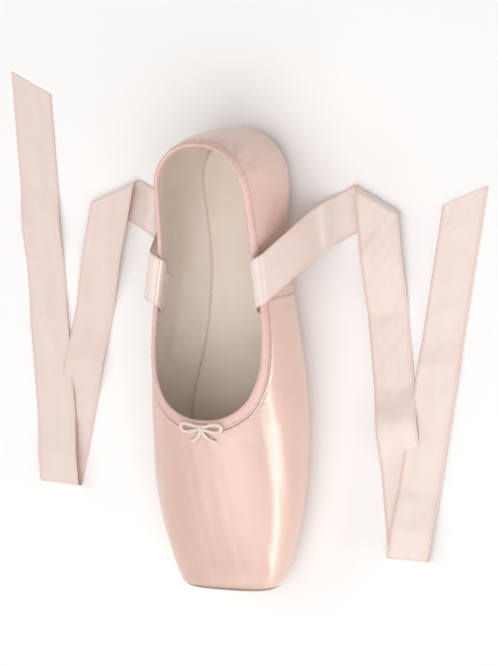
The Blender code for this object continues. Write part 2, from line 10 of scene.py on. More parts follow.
import bmesh
import bpy
import numpy as np
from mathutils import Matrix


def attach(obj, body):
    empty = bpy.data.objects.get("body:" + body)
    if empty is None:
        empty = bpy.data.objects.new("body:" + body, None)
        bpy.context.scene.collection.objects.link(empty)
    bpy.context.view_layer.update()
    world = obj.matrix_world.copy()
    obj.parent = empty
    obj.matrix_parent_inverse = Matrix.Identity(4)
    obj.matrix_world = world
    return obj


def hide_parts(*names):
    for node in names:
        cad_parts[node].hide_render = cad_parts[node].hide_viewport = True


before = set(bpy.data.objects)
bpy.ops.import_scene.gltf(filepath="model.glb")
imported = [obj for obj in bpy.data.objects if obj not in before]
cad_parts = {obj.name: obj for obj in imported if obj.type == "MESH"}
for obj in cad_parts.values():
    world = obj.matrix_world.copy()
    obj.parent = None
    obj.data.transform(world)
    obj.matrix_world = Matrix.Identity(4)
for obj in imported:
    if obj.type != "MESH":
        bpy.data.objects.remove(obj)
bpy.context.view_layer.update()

# %% [markdown]
# ## The last in numbers
# A shoe is built round a last, a solid foot of wood or plastic. Here the last is a table: a few
# sections along its length, with smooth curves between the rows. It could also be sculpted by
# hand, but a table lets every piece read its place from the same shape, so the pieces fit.

# %% Sizes in millimetres
MM = 0.001
LENGTH = 236.0
BALL_WIDTH = 80.0
INSTEP = 60.0
HEEL_SWING = 32.0
HEEL_AXIS = LENGTH - HEEL_SWING
HEEL_ROUND = 2.2
THROAT_AT = 85.0
BOX_WALL = 3.0
WALL_UNDER = 1.4
TOE_WALL = 5.0
TOE_FILLET = 4.5
SEAM_AT = 152.0
SEAM_STEP = 0.4
SEAM_RAMP = 0.6
OUTSOLE_FRONT = 25.0
OUTSOLE_BACK = LENGTH - 4.0
OUTSOLE_THICK = 2.8
FRONT_ROUND = 38.0
OPENING_MARGIN = 6.0
INSOLE_FRONT = 24.0
INSOLE_THICK = 1.6
INSOLE_REACH = -0.4
ARCH = 1.8
GAP = 0.3
BINDING_TALL = 6.0
BINDING_THICK = 2.6
CORD = 1.7
KNOT = 2.5
BOW = 10.0
RIBBON_WIDE = 22.0
RIBBON_LONG = 500.0
RIBBON_THICK = 0.6
RIBBON_BEHIND = 6.0
RIBBON_SEWN = 15.0
RIBBON_SLANT = 22.0
RIBBON_OVER = 4.0
RIBBON_INSIDE = 0.8
RIBBON_HANG = 16.0
RIBBON_LAND = 18.0
RIBBON_CUT = 32.0
FOLD_RADIUS = 2.2
SETTLE_RADIUS = 20.0
WAVE_RADIUS = 26.0
WAVE_RISE = 14.0
FLOOR_CLEAR = 0.1

# %% Tables of the last, the collar, the sole and the ribbons
# Sections from the toe's tip to the heel: place along the shoe, width, lift, height of the widest
# level, height of the top, flat share underneath, the curve's powers below and above, and the wall.
SECTIONS = (
    ("at", "width", "lift", "widest", "crown", "flat", "low", "high", "wall"),
    (0.000, 0.625, 0.83, 0.290, 0.550, 0.50, 2.3, 2.7, 1.00),
    (0.040, 0.720, 0.50, 0.290, 0.600, 0.52, 2.3, 2.7, 1.00),
    (0.085, 0.805, 0.19, 0.290, 0.670, 0.56, 2.3, 2.6, 1.00),
    (0.160, 0.910, 0.03, 0.290, 0.770, 0.66, 2.2, 2.5, 0.93),
    (0.254, 0.982, 0.00, 0.290, 0.870, 0.72, 2.1, 2.4, 0.80),
    (0.360, 1.000, 0.00, 0.290, 0.960, 0.72, 2.0, 2.3, 0.60),
    (0.424, 0.985, 0.00, 0.290, 1.030, 0.68, 2.0, 2.3, 0.47),
    (0.510, 0.930, 0.33, 0.285, 1.150, 0.58, 2.0, 2.3, 0.40),
    (0.600, 0.850, 1.00, 0.290, 1.280, 0.52, 2.0, 2.3, 0.40),
    (0.680, 0.775, 0.72, 0.300, 1.370, 0.54, 2.0, 2.3, 0.40),
    (0.760, 0.725, 0.00, 0.300, 1.420, 0.64, 2.0, 2.3, 0.40),
    (0.865, 0.720, 0.00, 0.300, 1.480, 0.76, 2.0, 2.3, 0.40),
    (0.940, 0.735, 0.00, 0.300, 1.500, 0.82, 2.0, 2.3, 0.40),
    (1.000, 0.735, 0.00, 0.300, 1.500, 0.86, 2.0, 2.3, 0.40),
)
# Height of the cut edge from the throat to the heel, as a share of the last's height at the throat.
COLLAR = (
    ("back", "height"),
    (0.000, 1.000), (0.099, 0.896), (0.234, 0.818), (0.375, 0.792), (0.500, 0.802),
    (0.625, 0.859), (0.789, 0.969), (0.906, 1.047), (1.000, 1.076),
)
# Half width of the outsole along the shoe, as a share of the width at the ball.
SOLE_PLAN = (
    ("at", "half"),
    (0.000, 0.340), (0.310, 0.340), (0.400, 0.322), (0.500, 0.250), (0.600, 0.180),
    (0.690, 0.176), (0.780, 0.215), (0.865, 0.250), (1.000, 0.250),
)
# What each ribbon does on the floor: kind, run along it, slant of the bend, turn and drop.
RIBBON_RIGHT = (
    ("fold", 0.026, 33.0, 180.0, 0.0), ("settle", 0.052, 0.0, 9.0, 1.0),
    ("wave", 0.068, -5.0, 9.0, 0.0), ("fold", 0.088, 7.0, 180.0, 0.0),
    ("settle", 0.024, 0.0, 9.0, 0.73), ("settle", 0.124, 6.0, 5.0, 0.27),
)
RIBBON_LEFT = (
    ("fold", 0.028, 36.0, 180.0, 0.0), ("settle", 0.060, 0.0, 9.0, 1.0),
    ("wave", 0.016, 5.0, 7.0, 0.0), ("fold", 0.088, 8.0, 180.0, 0.0),
    ("settle", 0.024, 0.0, 9.0, 0.73), ("settle", 0.100, -5.0, 5.0, 0.27),
    ("wave", 0.024, 6.0, 8.0, 0.0),
)
# The bow's loop and end beside the knot, towards the heel and above the casing, as shares of BOW.
BOW_LOOP = ((0.30, 0.11, 0.01), (0.65, 0.24, 0.07), (0.96, 0.23, 0.04), (1.09, 0.03, -0.01),
            (0.94, -0.17, -0.02), (0.66, -0.19, 0.01), (0.30, -0.11, 0.01))
BOW_END = ((0.15, -0.36, 0.01), (0.27, -0.53, -0.05), (0.46, -0.67, -0.10), (0.69, -0.76, -0.13))


# %% Read the tables
def column(table, name, share):
    """One column of a table at any share: a monotone cubic whose slopes are harmonic means."""
    rows = np.array(table[1:], dtype=float)
    x = rows[:, 0]
    y = rows[:, table[0].index(name)]
    step = np.diff(x)
    rise = np.diff(y) / step
    both = rise[:-1] * rise[1:]
    middle = np.where(both > 0, 2 * both / np.where(both > 0, rise[:-1] + rise[1:], 1.0), 0.0)
    slope = np.concatenate(([rise[0]], middle, [rise[-1]]))
    share = np.clip(np.asarray(share, dtype=float), x[0], x[-1])
    k = np.clip(np.searchsorted(x, share, side="right") - 1, 0, len(step) - 1)
    q = (share - x[k]) / step[k]
    start = y[k] * (1 + 2 * q) * (1 - q) ** 2 + slope[k] * step[k] * q * (1 - q) ** 2
    end = y[k + 1] * q * q * (3 - 2 * q) - slope[k + 1] * step[k] * q * q * (1 - q)
    return start + end


def base_height(at):
    """Height of the upper's underside above the floor."""
    return OUTSOLE_THICK + GAP + ARCH * column(SECTIONS, "lift", at / LENGTH)


def round_heel(side, back, swing):
    """Distance from the heel's axis to an oval outline, at an angle from square across."""
    across = np.abs(np.cos(swing)) / side
    along = np.abs(np.sin(swing)) / back
    return (across ** HEEL_ROUND + along ** HEEL_ROUND) ** (-1 / HEEL_ROUND)


def half_width(at, swing):
    """Half width of the last, or its reach from the heel's axis where the section swings."""
    straight = column(SECTIONS, "width", at / LENGTH) * BALL_WIDTH / 2
    side = column(SECTIONS, "width", HEEL_AXIS / LENGTH) * BALL_WIDTH / 2
    return np.where(swing > 0, round_heel(side, HEEL_SWING, swing), straight)


def sole_half(at, swing, inset):
    """Half width of the outsole, drawn in by inset: a table with an elliptic front end."""
    wide = column(SOLE_PLAN, "half", at / LENGTH) * BALL_WIDTH - inset
    side = column(SOLE_PLAN, "half", HEEL_AXIS / LENGTH) * BALL_WIDTH - inset
    front = np.clip((at - OUTSOLE_FRONT - inset) / (FRONT_ROUND - inset), 0, 1)
    straight = wide * np.sqrt(1 - (1 - front) ** 2)
    return np.where(swing > 0, round_heel(side, OUTSOLE_BACK - HEEL_AXIS - inset, swing), straight)


def board_half(at, swing, inset):
    """Half width of the insole: the flat under the upper, with an elliptic front end."""
    wide = column(SECTIONS, "flat", at / LENGTH) * half_width(at, swing) + INSOLE_REACH - inset
    front = np.clip((at - INSOLE_FRONT - inset) / (FRONT_ROUND - inset), 0, 1)
    return wide * np.sqrt(1 - (1 - front) ** 2)


def placed(points):
    """Turns (x, distance from the tip, z) in millimetres into world metres, about the middle."""
    return (np.asarray(points, dtype=float) - (0, (LENGTH - SEAM_STEP) / 2, 0)) * MM


print("half width at the ball:", float(half_width(BALL_WIDTH, 0.0)))


# %% Sections along the last
def spaced(start, end, count, ease):
    """Places from start up to, but without, end: even, or crowded at its start, end or both."""
    q = np.arange(count) / count
    if ease == "start":
        q = 1 - np.cos(q * math.pi / 2)
    if ease == "end":
        q = np.sin(q * math.pi / 2)
    if ease == "both":
        q = (1 - np.cos(q * math.pi)) / 2
    return start + (end - start) * q


def stations(swings, quarters, vamps, boxes, tips, rounds):
    """Distances from the tip and swing angles of the sections, from the heel's back to the tip."""
    swing = np.radians(90.0 * (1 - np.arange(swings) / swings))
    opening_front = OUTSOLE_FRONT + OPENING_MARGIN
    straight = np.concatenate((
        spaced(HEEL_AXIS, SEAM_AT + SEAM_RAMP, quarters, "even"),
        [SEAM_AT + SEAM_RAMP],
        spaced(SEAM_AT, THROAT_AT, vamps, "end"),
        spaced(THROAT_AT, opening_front, boxes, "both"),
        spaced(opening_front, TOE_FILLET, tips, "start"),
        TOE_FILLET * (1 - np.sin(np.arange(rounds + 1) / rounds * math.pi / 2)),
    ))
    at = np.concatenate((HEEL_AXIS + HEEL_SWING * np.sin(swing), straight))
    return at, np.concatenate((swing, np.zeros(len(straight))))


def curve_sizes(at, swing):
    """Sizes of the curve above the widest level: reach, widest level, top, power and end angle."""
    share = at / LENGTH
    widest = column(SECTIONS, "widest", share) * INSTEP
    crown = column(SECTIONS, "crown", share) * INSTEP
    throat = column(SECTIONS, "crown", THROAT_AT / LENGTH) * INSTEP
    rim = throat * column(COLLAR, "height", (at - THROAT_AT) / (LENGTH - THROAT_AT))
    high = column(SECTIONS, "high", share)
    lift = np.clip((rim - widest) / (crown - widest), 0, 1) ** (high / 2)
    cut = np.where(at > THROAT_AT, np.arcsin(lift), math.pi / 2)
    return half_width(at, swing), widest, crown, high, cut


def skin(at, swing, counts, inner):
    """Points of the upper's outer or inner skin on the side x >= 0.

    Each section runs along the flat, up a power curve |x/a|^p + |z/b|^p = 1 to the widest level,
    and on up a second one to the collar or the top. The inner skin lies inside by the wall.
    """
    flats, lows, highs = counts
    behind = OUTSOLE_FRONT + OPENING_MARGIN
    tip = TOE_WALL if inner else 0.0
    own = np.where(at < behind, tip + at * (1 - tip / behind), at)
    share = own / LENGTH
    edge = np.clip(TOE_FILLET - (own - tip), 0, TOE_FILLET)
    inset = TOE_FILLET - np.sqrt(TOE_FILLET ** 2 - edge ** 2)
    half, widest, crown, high, cut = curve_sizes(own, swing)
    low = column(SECTIONS, "low", share)[:, None]
    flat = np.maximum(column(SECTIONS, "flat", share) * half - inset, 0)
    base = base_height(own) + inset
    crown = crown - inset
    reach = half - inset - SEAM_STEP * np.clip((at - SEAM_AT) / SEAM_RAMP, 0, 1)
    if inner:
        thick = column(SECTIONS, "wall", share) * BOX_WALL
        base = base + WALL_UNDER
        crown = crown - thick
        reach = half - inset - thick - SEAM_STEP
    opening = np.where(at > behind, sole_half(at, swing, OPENING_MARGIN), 0.0)
    part = (np.arange(flats) / flats)[None, :]
    x_flat = opening[:, None] + (flat - opening)[:, None] * part
    z_flat = base[:, None] + 0 * part
    turn = (np.arange(lows) / lows * math.pi / 2)[None, :]
    x_low = flat[:, None] + (reach - flat)[:, None] * np.sin(turn) ** (2 / low)
    z_low = widest[:, None] - (widest - base)[:, None] * np.cos(turn) ** (2 / low)
    turn = (np.arange(highs + 1) / highs)[None, :] * cut[:, None]
    x_high = reach[:, None] * np.abs(np.cos(turn)) ** (2 / high[:, None])
    z_high = widest[:, None] + (crown - widest)[:, None] * np.sin(turn) ** (2 / high[:, None])
    x = np.concatenate((x_flat, x_low, x_high), axis=1)
    z = np.concatenate((z_flat, z_low, z_high), axis=1)
    x[at <= THROAT_AT, -1] = 0.0
    y = np.where((swing > 0)[:, None], HEEL_AXIS + x * np.sin(swing)[:, None], own[:, None])
    x = x * np.cos(swing)[:, None]
    x[0] = 0.0
    return np.stack((x, y, z), axis=2)


def collar_normals(at, swing):
    """Normals of the outer skin at the collar, from the slope of the power curve."""
    half, widest, crown, high, cut = curve_sizes(at, swing)
    after = curve_sizes(at + 1, swing)
    before = curve_sizes(at - 1, swing)
    side = np.abs(np.cos(cut)) ** (2 - 2 / high) / half
    top = np.sin(cut) ** (2 - 2 / high) / (crown - widest)
    wider = (after[0] - before[0]) / 2 * np.abs(np.cos(cut)) ** (2 / high)
    taller = (after[2] - before[2]) / 2 * np.sin(cut) ** (2 / high)
    along = np.where(swing > 0, side * np.sin(swing), -side * wider - top * taller)
    normal = np.stack((side * np.cos(swing), along, top), axis=1)
    return normal / np.linalg.norm(normal, axis=1)[:, None]


def collar_frame(at, swing, counts):
    """Middle of the wall round the whole collar, the wall's normal and the way into the opening."""
    count = int(np.sum(at > THROAT_AT)) + 1
    outer = skin(at, swing, counts, False)[:count, -1]
    inner = skin(at, swing, counts, True)[:count, -1]

    def around(half):
        return np.concatenate((half, (half * (-1, 1, 1))[::-1][1:-1]))

    middle = around((outer + inner) / 2)
    normal = around(collar_normals(at[:count], swing[:count]))
    tangent = np.roll(middle, -1, axis=0) - np.roll(middle, 1, axis=0)
    inward = np.cross(tangent, normal)
    inward /= np.linalg.norm(inward, axis=1)[:, None]
    return middle, np.cross(inward, tangent / np.linalg.norm(tangent, axis=1)[:, None]), inward


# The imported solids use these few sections, and the ribbons and the bow start from the same ones.
solid_at, solid_swing = stations(swings=9, quarters=4, vamps=9, boxes=8, tips=5, rounds=3)
solid_frame = collar_frame(solid_at, solid_swing, (2, 4, 7))
print("collar points in the solid:", len(solid_frame[0]))

# %% [markdown]
# ## Camera, floor and lights
# The shoe is seen from above and a little from its side, with the toe down, as in a catalogue.
# A long lens keeps the shape calm. Satin shows only what it reflects, so its long white streak is
# the picture of a tall soft lamp at the shoe's side, and the rest of the light comes from a pale
# room. A big lamp near by gives soft shadows, and a bare bulb would give hard spots.

# %% Camera
CAMERA_SIDE = math.radians(22.0)
CAMERA_HEEL = math.radians(6.0)
CAMERA_AWAY = 1.5
CAMERA_LENS = 160.0
LOOK_AT = np.array((0.0095, 0.014, 0.020))


def aimed(thing, where, back):
    """Puts a camera or lamp at a place, looking away from its back, with the heel's side up."""
    level = np.cross((0.0, 1.0, 0.0), back)
    level /= np.linalg.norm(level)
    matrix = np.eye(4)
    matrix[:3, 0], matrix[:3, 1], matrix[:3, 2] = level, np.cross(back, level), back
    matrix[:3, 3] = where
    thing.matrix_world = matrix.T.tolist()
    bpy.context.scene.collection.objects.link(thing)


to_camera = np.array((math.sin(CAMERA_SIDE) * math.cos(CAMERA_HEEL), math.sin(CAMERA_HEEL),
                      math.cos(CAMERA_SIDE) * math.cos(CAMERA_HEEL)))
lens = bpy.data.cameras.new("camera")
lens.lens = CAMERA_LENS
camera = bpy.data.objects.new("camera", lens)
aimed(camera, LOOK_AT + to_camera * CAMERA_AWAY, to_camera)
bpy.context.scene.camera = camera
print("camera at", LOOK_AT + to_camera * CAMERA_AWAY)


# %% Materials: small helpers
def new_material(name):
    """A material with an empty Principled shader, and its node tree."""
    material = bpy.data.materials.new(name)
    material.use_nodes = True
    return material, material.node_tree, material.node_tree.nodes["Principled BSDF"]


def put(tree, socket, value):
    """Links an output socket to an input, or writes a number, colour or vector into it."""
    value = getattr(value, "socket", value)
    if isinstance(value, bpy.types.NodeSocket):
        tree.links.new(value, socket)
    else:
        socket.default_value = value


def sockets(tree, node, **values):
    """Fills a node's inputs by name, with _ for a space."""
    for name, value in values.items():
        put(tree, node.inputs[name.replace("_", " ")], value)
    return node


# %% Floor, room and lamps
FLOOR_HALF = 3.0
floor_paint, tree, shader = new_material("floor_paper")
sockets(tree, shader, Base_Color=(0.96, 0.955, 0.95, 1), Roughness=0.9)
corners = [(-FLOOR_HALF, -FLOOR_HALF, 0), (FLOOR_HALF, -FLOOR_HALF, 0),
           (FLOOR_HALF, FLOOR_HALF, 0), (-FLOOR_HALF, FLOOR_HALF, 0)]
floor_mesh = bpy.data.meshes.new("floor")
floor_mesh.from_pydata(corners, [], [(0, 1, 2, 3)])
floor_mesh.materials.append(floor_paint)
floor = bpy.data.objects.new("floor", floor_mesh)
bpy.context.scene.collection.objects.link(floor)

room = bpy.data.worlds.new("room")
room.use_nodes = True
tree = room.node_tree
fill = sockets(tree, tree.nodes["Background"], Color=(1.0, 0.99, 0.985, 1), Strength=0.41)
backdrop = sockets(tree, tree.nodes.new("ShaderNodeBackground"), Color=(1.0, 1.0, 1.0, 1), Strength=1.0)
seen = tree.nodes.new("ShaderNodeMixShader")
camera_ray = tree.nodes.new("ShaderNodeLightPath").outputs["Is Camera Ray"]
for socket, value in zip(seen.inputs, (camera_ray, fill.outputs[0], backdrop.outputs[0])):
    put(tree, socket, value)
put(tree, tree.nodes["World Output"].inputs["Surface"], seen.outputs[0])
bpy.context.scene.world = room
bpy.context.scene.view_settings.view_transform = "Standard"

# Name, place, width, height, watts and colour of each soft lamp; all of them face the shoe. The
# card stands where the right lamp does and shows only in the gloss, as a white card beside it does.
LAMPS = (
    ("lamp_above", (0.20, -0.45, 1.20), 1.60, 1.60, 13.4, (1.0, 0.99, 0.985)),
    ("lamp_right", (0.95, -0.40, 0.14), 0.17, 1.10, 3.4, (1.0, 0.985, 0.97)),
    ("card_right", (0.95, -0.40, 0.13), 0.15, 1.10, 3.4, (1.0, 0.99, 0.98)),
    ("lamp_left", (-1.00, 0.30, 0.75), 0.80, 1.20, 4.0, (1.0, 0.98, 0.96)),
)
for name, where, wide, tall, watts, color in LAMPS:
    light = bpy.data.lights.new(name, "AREA")
    light.shape = "RECTANGLE"
    light.size, light.size_y, light.energy, light.color = wide, tall, watts, color
    lamp = bpy.data.objects.new(name, light)
    aimed(lamp, where, np.array(where) / np.linalg.norm(where))
    lamp.visible_diffuse = name != "card_right"
print("lamps:", len(LAMPS))

# %% [markdown]
# ## How the pieces are made
# Every piece here is one or more sheets of points, worked out by a formula on two parameters, and
# sewn where their edges meet. Each point also carries its place on the cloth, in metres along and
# across the threads, so that a weave follows the surface round every bend.

# %% Sew grids of points into one piece
MERGE = 2e-6
SHARP = math.radians(60.0)


def grid_faces(rows, columns):
    """Corner numbers of the quads of a grid that is stored row by row."""
    first = (np.arange(rows - 1)[:, None] * columns + np.arange(columns - 1)[None, :]).ravel()
    return np.stack((first, first + 1, first + columns + 1, first + columns), axis=1)


def sewn(name, panels, materials, marks=()):
    """One piece from panels of (points in mm, cloth places in mm, material number, mark values).

    The panels' equal edge points are merged, faces without area are dropped and the faces are
    turned outwards. The cloth places go into a UV map, and each mark into a point attribute.
    """
    points = [grid.reshape(-1, 3) for grid, places, number, shades in panels]
    starts = np.cumsum([0] + [len(p) for p in points])
    quads = [grid_faces(*panel[0].shape[:2]) for panel in panels]
    faces = np.concatenate([q + start for q, start in zip(quads, starts)])
    finish = [np.full(len(q), panel[2], dtype=np.int32) for q, panel in zip(quads, panels)]
    cloth = np.concatenate([np.reshape(panel[1], (-1, 2)) for panel in panels]) * MM
    mesh = bpy.data.meshes.new(name)
    mesh.from_pydata(placed(np.concatenate(points)).tolist(), [], faces.tolist())
    mesh.polygons.foreach_set("material_index", np.concatenate(finish))
    layer = mesh.uv_layers.new(name="cloth")
    layer.data.foreach_set("uv", cloth[faces.ravel()].astype(np.float32).ravel())
    for label in marks:
        shade = [np.broadcast_to(shades.get(label, 0.0), grid.shape[:2]).ravel()
                 for grid, places, number, shades in panels]
        attribute = mesh.attributes.new(label, "FLOAT", "POINT")
        attribute.data.foreach_set("value", np.concatenate(shade).astype(np.float32))
    for material in materials:
        mesh.materials.append(material)
    return finished(name, mesh)


def finished(name, mesh):
    """Merges a mesh's doubles, turns its faces outwards, smooths it and puts it in the scene."""
    build = bmesh.new()
    build.from_mesh(mesh)
    bmesh.ops.remove_doubles(build, verts=build.verts, dist=MERGE)
    bmesh.ops.dissolve_degenerate(build, edges=build.edges, dist=1e-7)
    bmesh.ops.recalc_face_normals(build, faces=build.faces)
    open_edges = sum(len(edge.link_faces) != 2 for edge in build.edges)
    build.to_mesh(mesh)
    build.free()
    mesh.shade_smooth()
    mesh.set_sharp_from_angle(angle=SHARP)
    thing = bpy.data.objects.new(name, mesh)
    bpy.context.scene.collection.objects.link(thing)
    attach(thing, "root")
    print(name, "faces:", len(mesh.polygons), "open edges:", open_edges)
    return thing


def lengths(grid, axis):
    """Running length in millimetres along one direction of a grid."""
    step = np.linalg.norm(np.diff(grid, axis=axis), axis=2)
    pad = [(0, 0), (0, 0)]
    pad[axis] = (1, 0)
    return np.pad(np.cumsum(step, axis=axis), pad)


def unit(vectors):
    """Vectors of length one along the last axis."""
    return vectors / np.maximum(np.linalg.norm(vectors, axis=-1, keepdims=True), 1e-12)


def smooth_step(value, low, high):
    """0 below low, 1 above high, and a soft S between them."""
    q = np.clip((value - low) / (high - low), 0, 1)
    return q * q * (3 - 2 * q)


def bell(value, wide):
    """1 at zero, falling off to both sides over a width."""
    return np.exp(-(value / wide) ** 2)


# %% Waves that look uneven but are the same every time
def uneven(place, period, seed):
    """A wave of about one period: three sines whose lengths don't share a factor, from -1 to 1."""
    turn = 2 * math.pi / period
    return (0.5 * np.sin(place * turn + seed) + 0.3 * np.sin(place * turn * 1.618 + 2.3 * seed)
            + 0.2 * np.sin(place * turn * 0.547 + 4.1 * seed))

# %% [markdown]
# ## Finishes
# Satin shines because long threads lie side by side on its face. Its colour is a soft peach, and
# what makes it look like silk is a clear but slightly blurred reflection, fine ribs along the
# threads and a slow unevenness from the paste underneath. Each effect that several finishes share is
# a node group with its own values in each finish, and the shader itself stays in the material.

# %% Values in a node tree
class Value:
    """A number in a node tree: plus, minus, times and divided by each make a Math node."""

    def __init__(self, tree, socket):
        self.tree, self.socket = tree, socket

    def math(self, operation, *others):
        node = self.tree.nodes.new("ShaderNodeMath")
        node.operation = operation
        for socket, value in zip(node.inputs, (self, *others)):
            put(self.tree, socket, value)
        return Value(self.tree, node.outputs[0])

    def __add__(self, other):
        return self.math("ADD", other)

    def __sub__(self, other):
        return self.math("SUBTRACT", other)

    def __mul__(self, other):
        return self.math("MULTIPLY", other)

    def __truediv__(self, other):
        return self.math("DIVIDE", other)

    def ramp(self, low, high, to_low=0.0, to_high=1.0):
        """A soft map from one range to another."""
        node = self.tree.nodes.new("ShaderNodeMapRange")
        node.interpolation_type = "SMOOTHSTEP"
        for socket, value in zip(node.inputs, (self, low, high, to_low, to_high)):
            put(self.tree, socket, value)
        return Value(self.tree, node.outputs[0])


# %% Helpers for node groups
def new_group(name, inputs, outputs):
    """An empty shader group: its tree, its inputs as values by name, and its output sockets.

    An input's default says its kind: None is a vector, a tuple a colour and the rest numbers.
    """
    tree = bpy.data.node_groups.new(name, "ShaderNodeTree")
    for label, value in inputs.items():
        kind = {type(None): "Vector", tuple: "Color"}.get(type(value), "Float")
        socket = tree.interface.new_socket(label, in_out="INPUT", socket_type="NodeSocket" + kind)
        if value is not None:
            socket.default_value = value
    for label in outputs:
        kind = "Color" if label == "Color" else "Float"
        tree.interface.new_socket(label, in_out="OUTPUT", socket_type="NodeSocket" + kind)
    come = tree.nodes.new("NodeGroupInput").outputs
    return tree, {s.name: Value(tree, s) for s in come}, tree.nodes.new("NodeGroupOutput")


def blended(tree, share, first, second, kind="MIX"):
    """A colour that goes from the first to the second as the share goes from 0 to 1."""
    node = tree.nodes.new("ShaderNodeMix")
    node.data_type = "RGBA"
    node.blend_type = kind
    return sockets(tree, node, Factor=share, A=first, B=second).outputs["Result"]


def parts(tree, vector):
    """The x, y and z of a vector."""
    node = sockets(tree, tree.nodes.new("ShaderNodeSeparateXYZ"), Vector=vector)
    return [Value(tree, socket) for socket in node.outputs]


def noise(tree, vector, scale, detail, roughness=0.5):
    """A noise texture's value at a vector."""
    node = sockets(tree, tree.nodes.new("ShaderNodeTexNoise"), Vector=vector, Scale=scale,
                   Detail=detail, Roughness=roughness)
    return Value(tree, node.outputs["Fac"])


def stretched_noise(tree, x, y, z, detail, roughness=0.5):
    """A noise texture's value at a place that is given by its three numbers."""
    node = sockets(tree, tree.nodes.new("ShaderNodeCombineXYZ"), X=x, Y=y, Z=z)
    return noise(tree, node.outputs[0], 1.0, detail, roughness)


def grouped(tree, group, **values):
    """A node group placed in a material with its own values: its outputs by name."""
    node = tree.nodes.new("ShaderNodeGroup")
    node.node_tree = group
    sockets(tree, node, **values)
    return {socket.name: Value(tree, socket) for socket in node.outputs}


def mark(tree, name):
    """One of the piece's own marks, as a value."""
    node = tree.nodes.new("ShaderNodeAttribute")
    node.attribute_name = name
    return Value(tree, node.outputs["Fac"])


def new_finish(name):
    """A new material, its tree and shader, and the places on the cloth and on the object.

    The first place is across and along the threads, and both are in metres.
    """
    material, tree, shader = new_material(name)
    cloth = tree.nodes.new("ShaderNodeUVMap")
    cloth.uv_map = "cloth"
    spot = tree.nodes.new("ShaderNodeTexCoord")
    return material, tree, shader, cloth.outputs["UV"], spot.outputs["Object"]


def bumped(tree, height, strength, distance):
    """The surface's normal, tilted by a height in metres."""
    node = sockets(tree, tree.nodes.new("ShaderNodeBump"), Height=height, Strength=strength,
                   Distance=distance)
    return node.outputs["Normal"]


# %% Group: satin weave
weave_group, come, go = new_group(
    "satin_weave", {"Cloth": None, "Thread": 0.00018, "Float Length": 0.0011, "Slub": 0.3}, ["Height"])
x, y, z = parts(weave_group, come["Cloth"])
lane = x / come["Thread"]
rib = (lane * math.pi).math("SINE").math("ABSOLUTE")
dive = (lane.math("FLOOR") * 0.4 + y / come["Float Length"]).math("PINGPONG", 0.5).ramp(0.0, 0.09)
slub = stretched_noise(weave_group, x * 2600.0, y * 90.0, 0.0, 2.0)
sockets(weave_group, go, Height=rib * (dive * 0.6 + 0.4) + (slub - 0.5) * come["Slub"])

# %% Group: slow unevenness
mottle_group, come, go = new_group(
    "slow_mottle", {"Place": None, "Across": 60.0, "Along": 18.0, "Light": (1.0, 1.0, 1.0, 1),
                    "Shade": (0.8, 0.8, 0.8, 1)}, ["Color", "Value"])
x, y, z = parts(mottle_group, come["Place"])
value = stretched_noise(mottle_group, x * come["Across"], y * come["Along"], z * come["Across"],
                        3.0, 0.45).ramp(0.3, 0.7)
sockets(mottle_group, go, Value=value, Color=blended(mottle_group, value, come["Shade"], come["Light"]))

# %% Group: soil and rubbed edges
soil_group, come, go = new_group(
    "soil", {"Place": None, "Color": (1.0, 1.0, 1.0, 1), "Mask": 0.0, "Soiled": (0.4, 0.25, 0.18, 1),
             "Amount": 0.5, "Patches": 0.4, "Roughness": 0.4}, ["Color", "Roughness"])
patchy = noise(soil_group, come["Place"], 420.0, 4.0, 0.6)
share = come["Mask"] * come["Amount"] * patchy.ramp(0.32, 0.66, come["Patches"] * -1.0 + 1.0, 1.0)
sockets(soil_group, go, Color=blended(soil_group, share, come["Color"], come["Soiled"]),
        Roughness=share * 0.35 + come["Roughness"])

# %% Group: plain weave, for cotton
cotton_group, come, go = new_group("plain_weave", {"Cloth": None, "Thread": 0.00045}, ["Height", "Gap"])
x, y, z = parts(cotton_group, come["Cloth"])
waves = [(part / come["Thread"] * math.pi).math("SINE") for part in (x, y)]
over = waves[0] * waves[1]
sockets(cotton_group, go, Height=over * 0.5 + 0.5, Gap=over.math("ABSOLUTE").ramp(0.0, 0.25, 1.0, 0.0))

# %% Group: leather grain
grain_group, come, go = new_group(
    "leather_grain", {"Place": None, "Scale": 900.0, "Pore": 0.5}, ["Height", "Pores"])
cells = grain_group.nodes.new("ShaderNodeTexVoronoi")
cells.feature = "DISTANCE_TO_EDGE"
sockets(grain_group, cells, Vector=come["Place"], Scale=come["Scale"])
edge = Value(grain_group, cells.outputs["Distance"]).ramp(0.0, 0.22)
nap = noise(grain_group, come["Place"], come["Scale"] * 2.3, 4.0, 0.62)
sockets(grain_group, go, Height=edge * come["Pore"] + nap, Pores=edge * -1.0 + 1.0)

# %% Group: twisted or braided yarn
yarn_group, come, go = new_group(
    "yarn", {"Cloth": None, "Pitch": 0.0007, "Braid": 1.0}, ["Height", "Crown"])
x, y, z = parts(yarn_group, come["Cloth"])
lines = [((y * slope + x) / come["Pitch"] * (2 * math.pi)).math("SINE") for slope in (0.8, -0.8)]
braid = lines[0].math("MAXIMUM", (lines[1] + 2.0) * come["Braid"] - 2.0)
sockets(yarn_group, go, Height=braid, Crown=braid.ramp(-0.6, 0.6))
print("groups:", [g.name for g in bpy.data.node_groups])
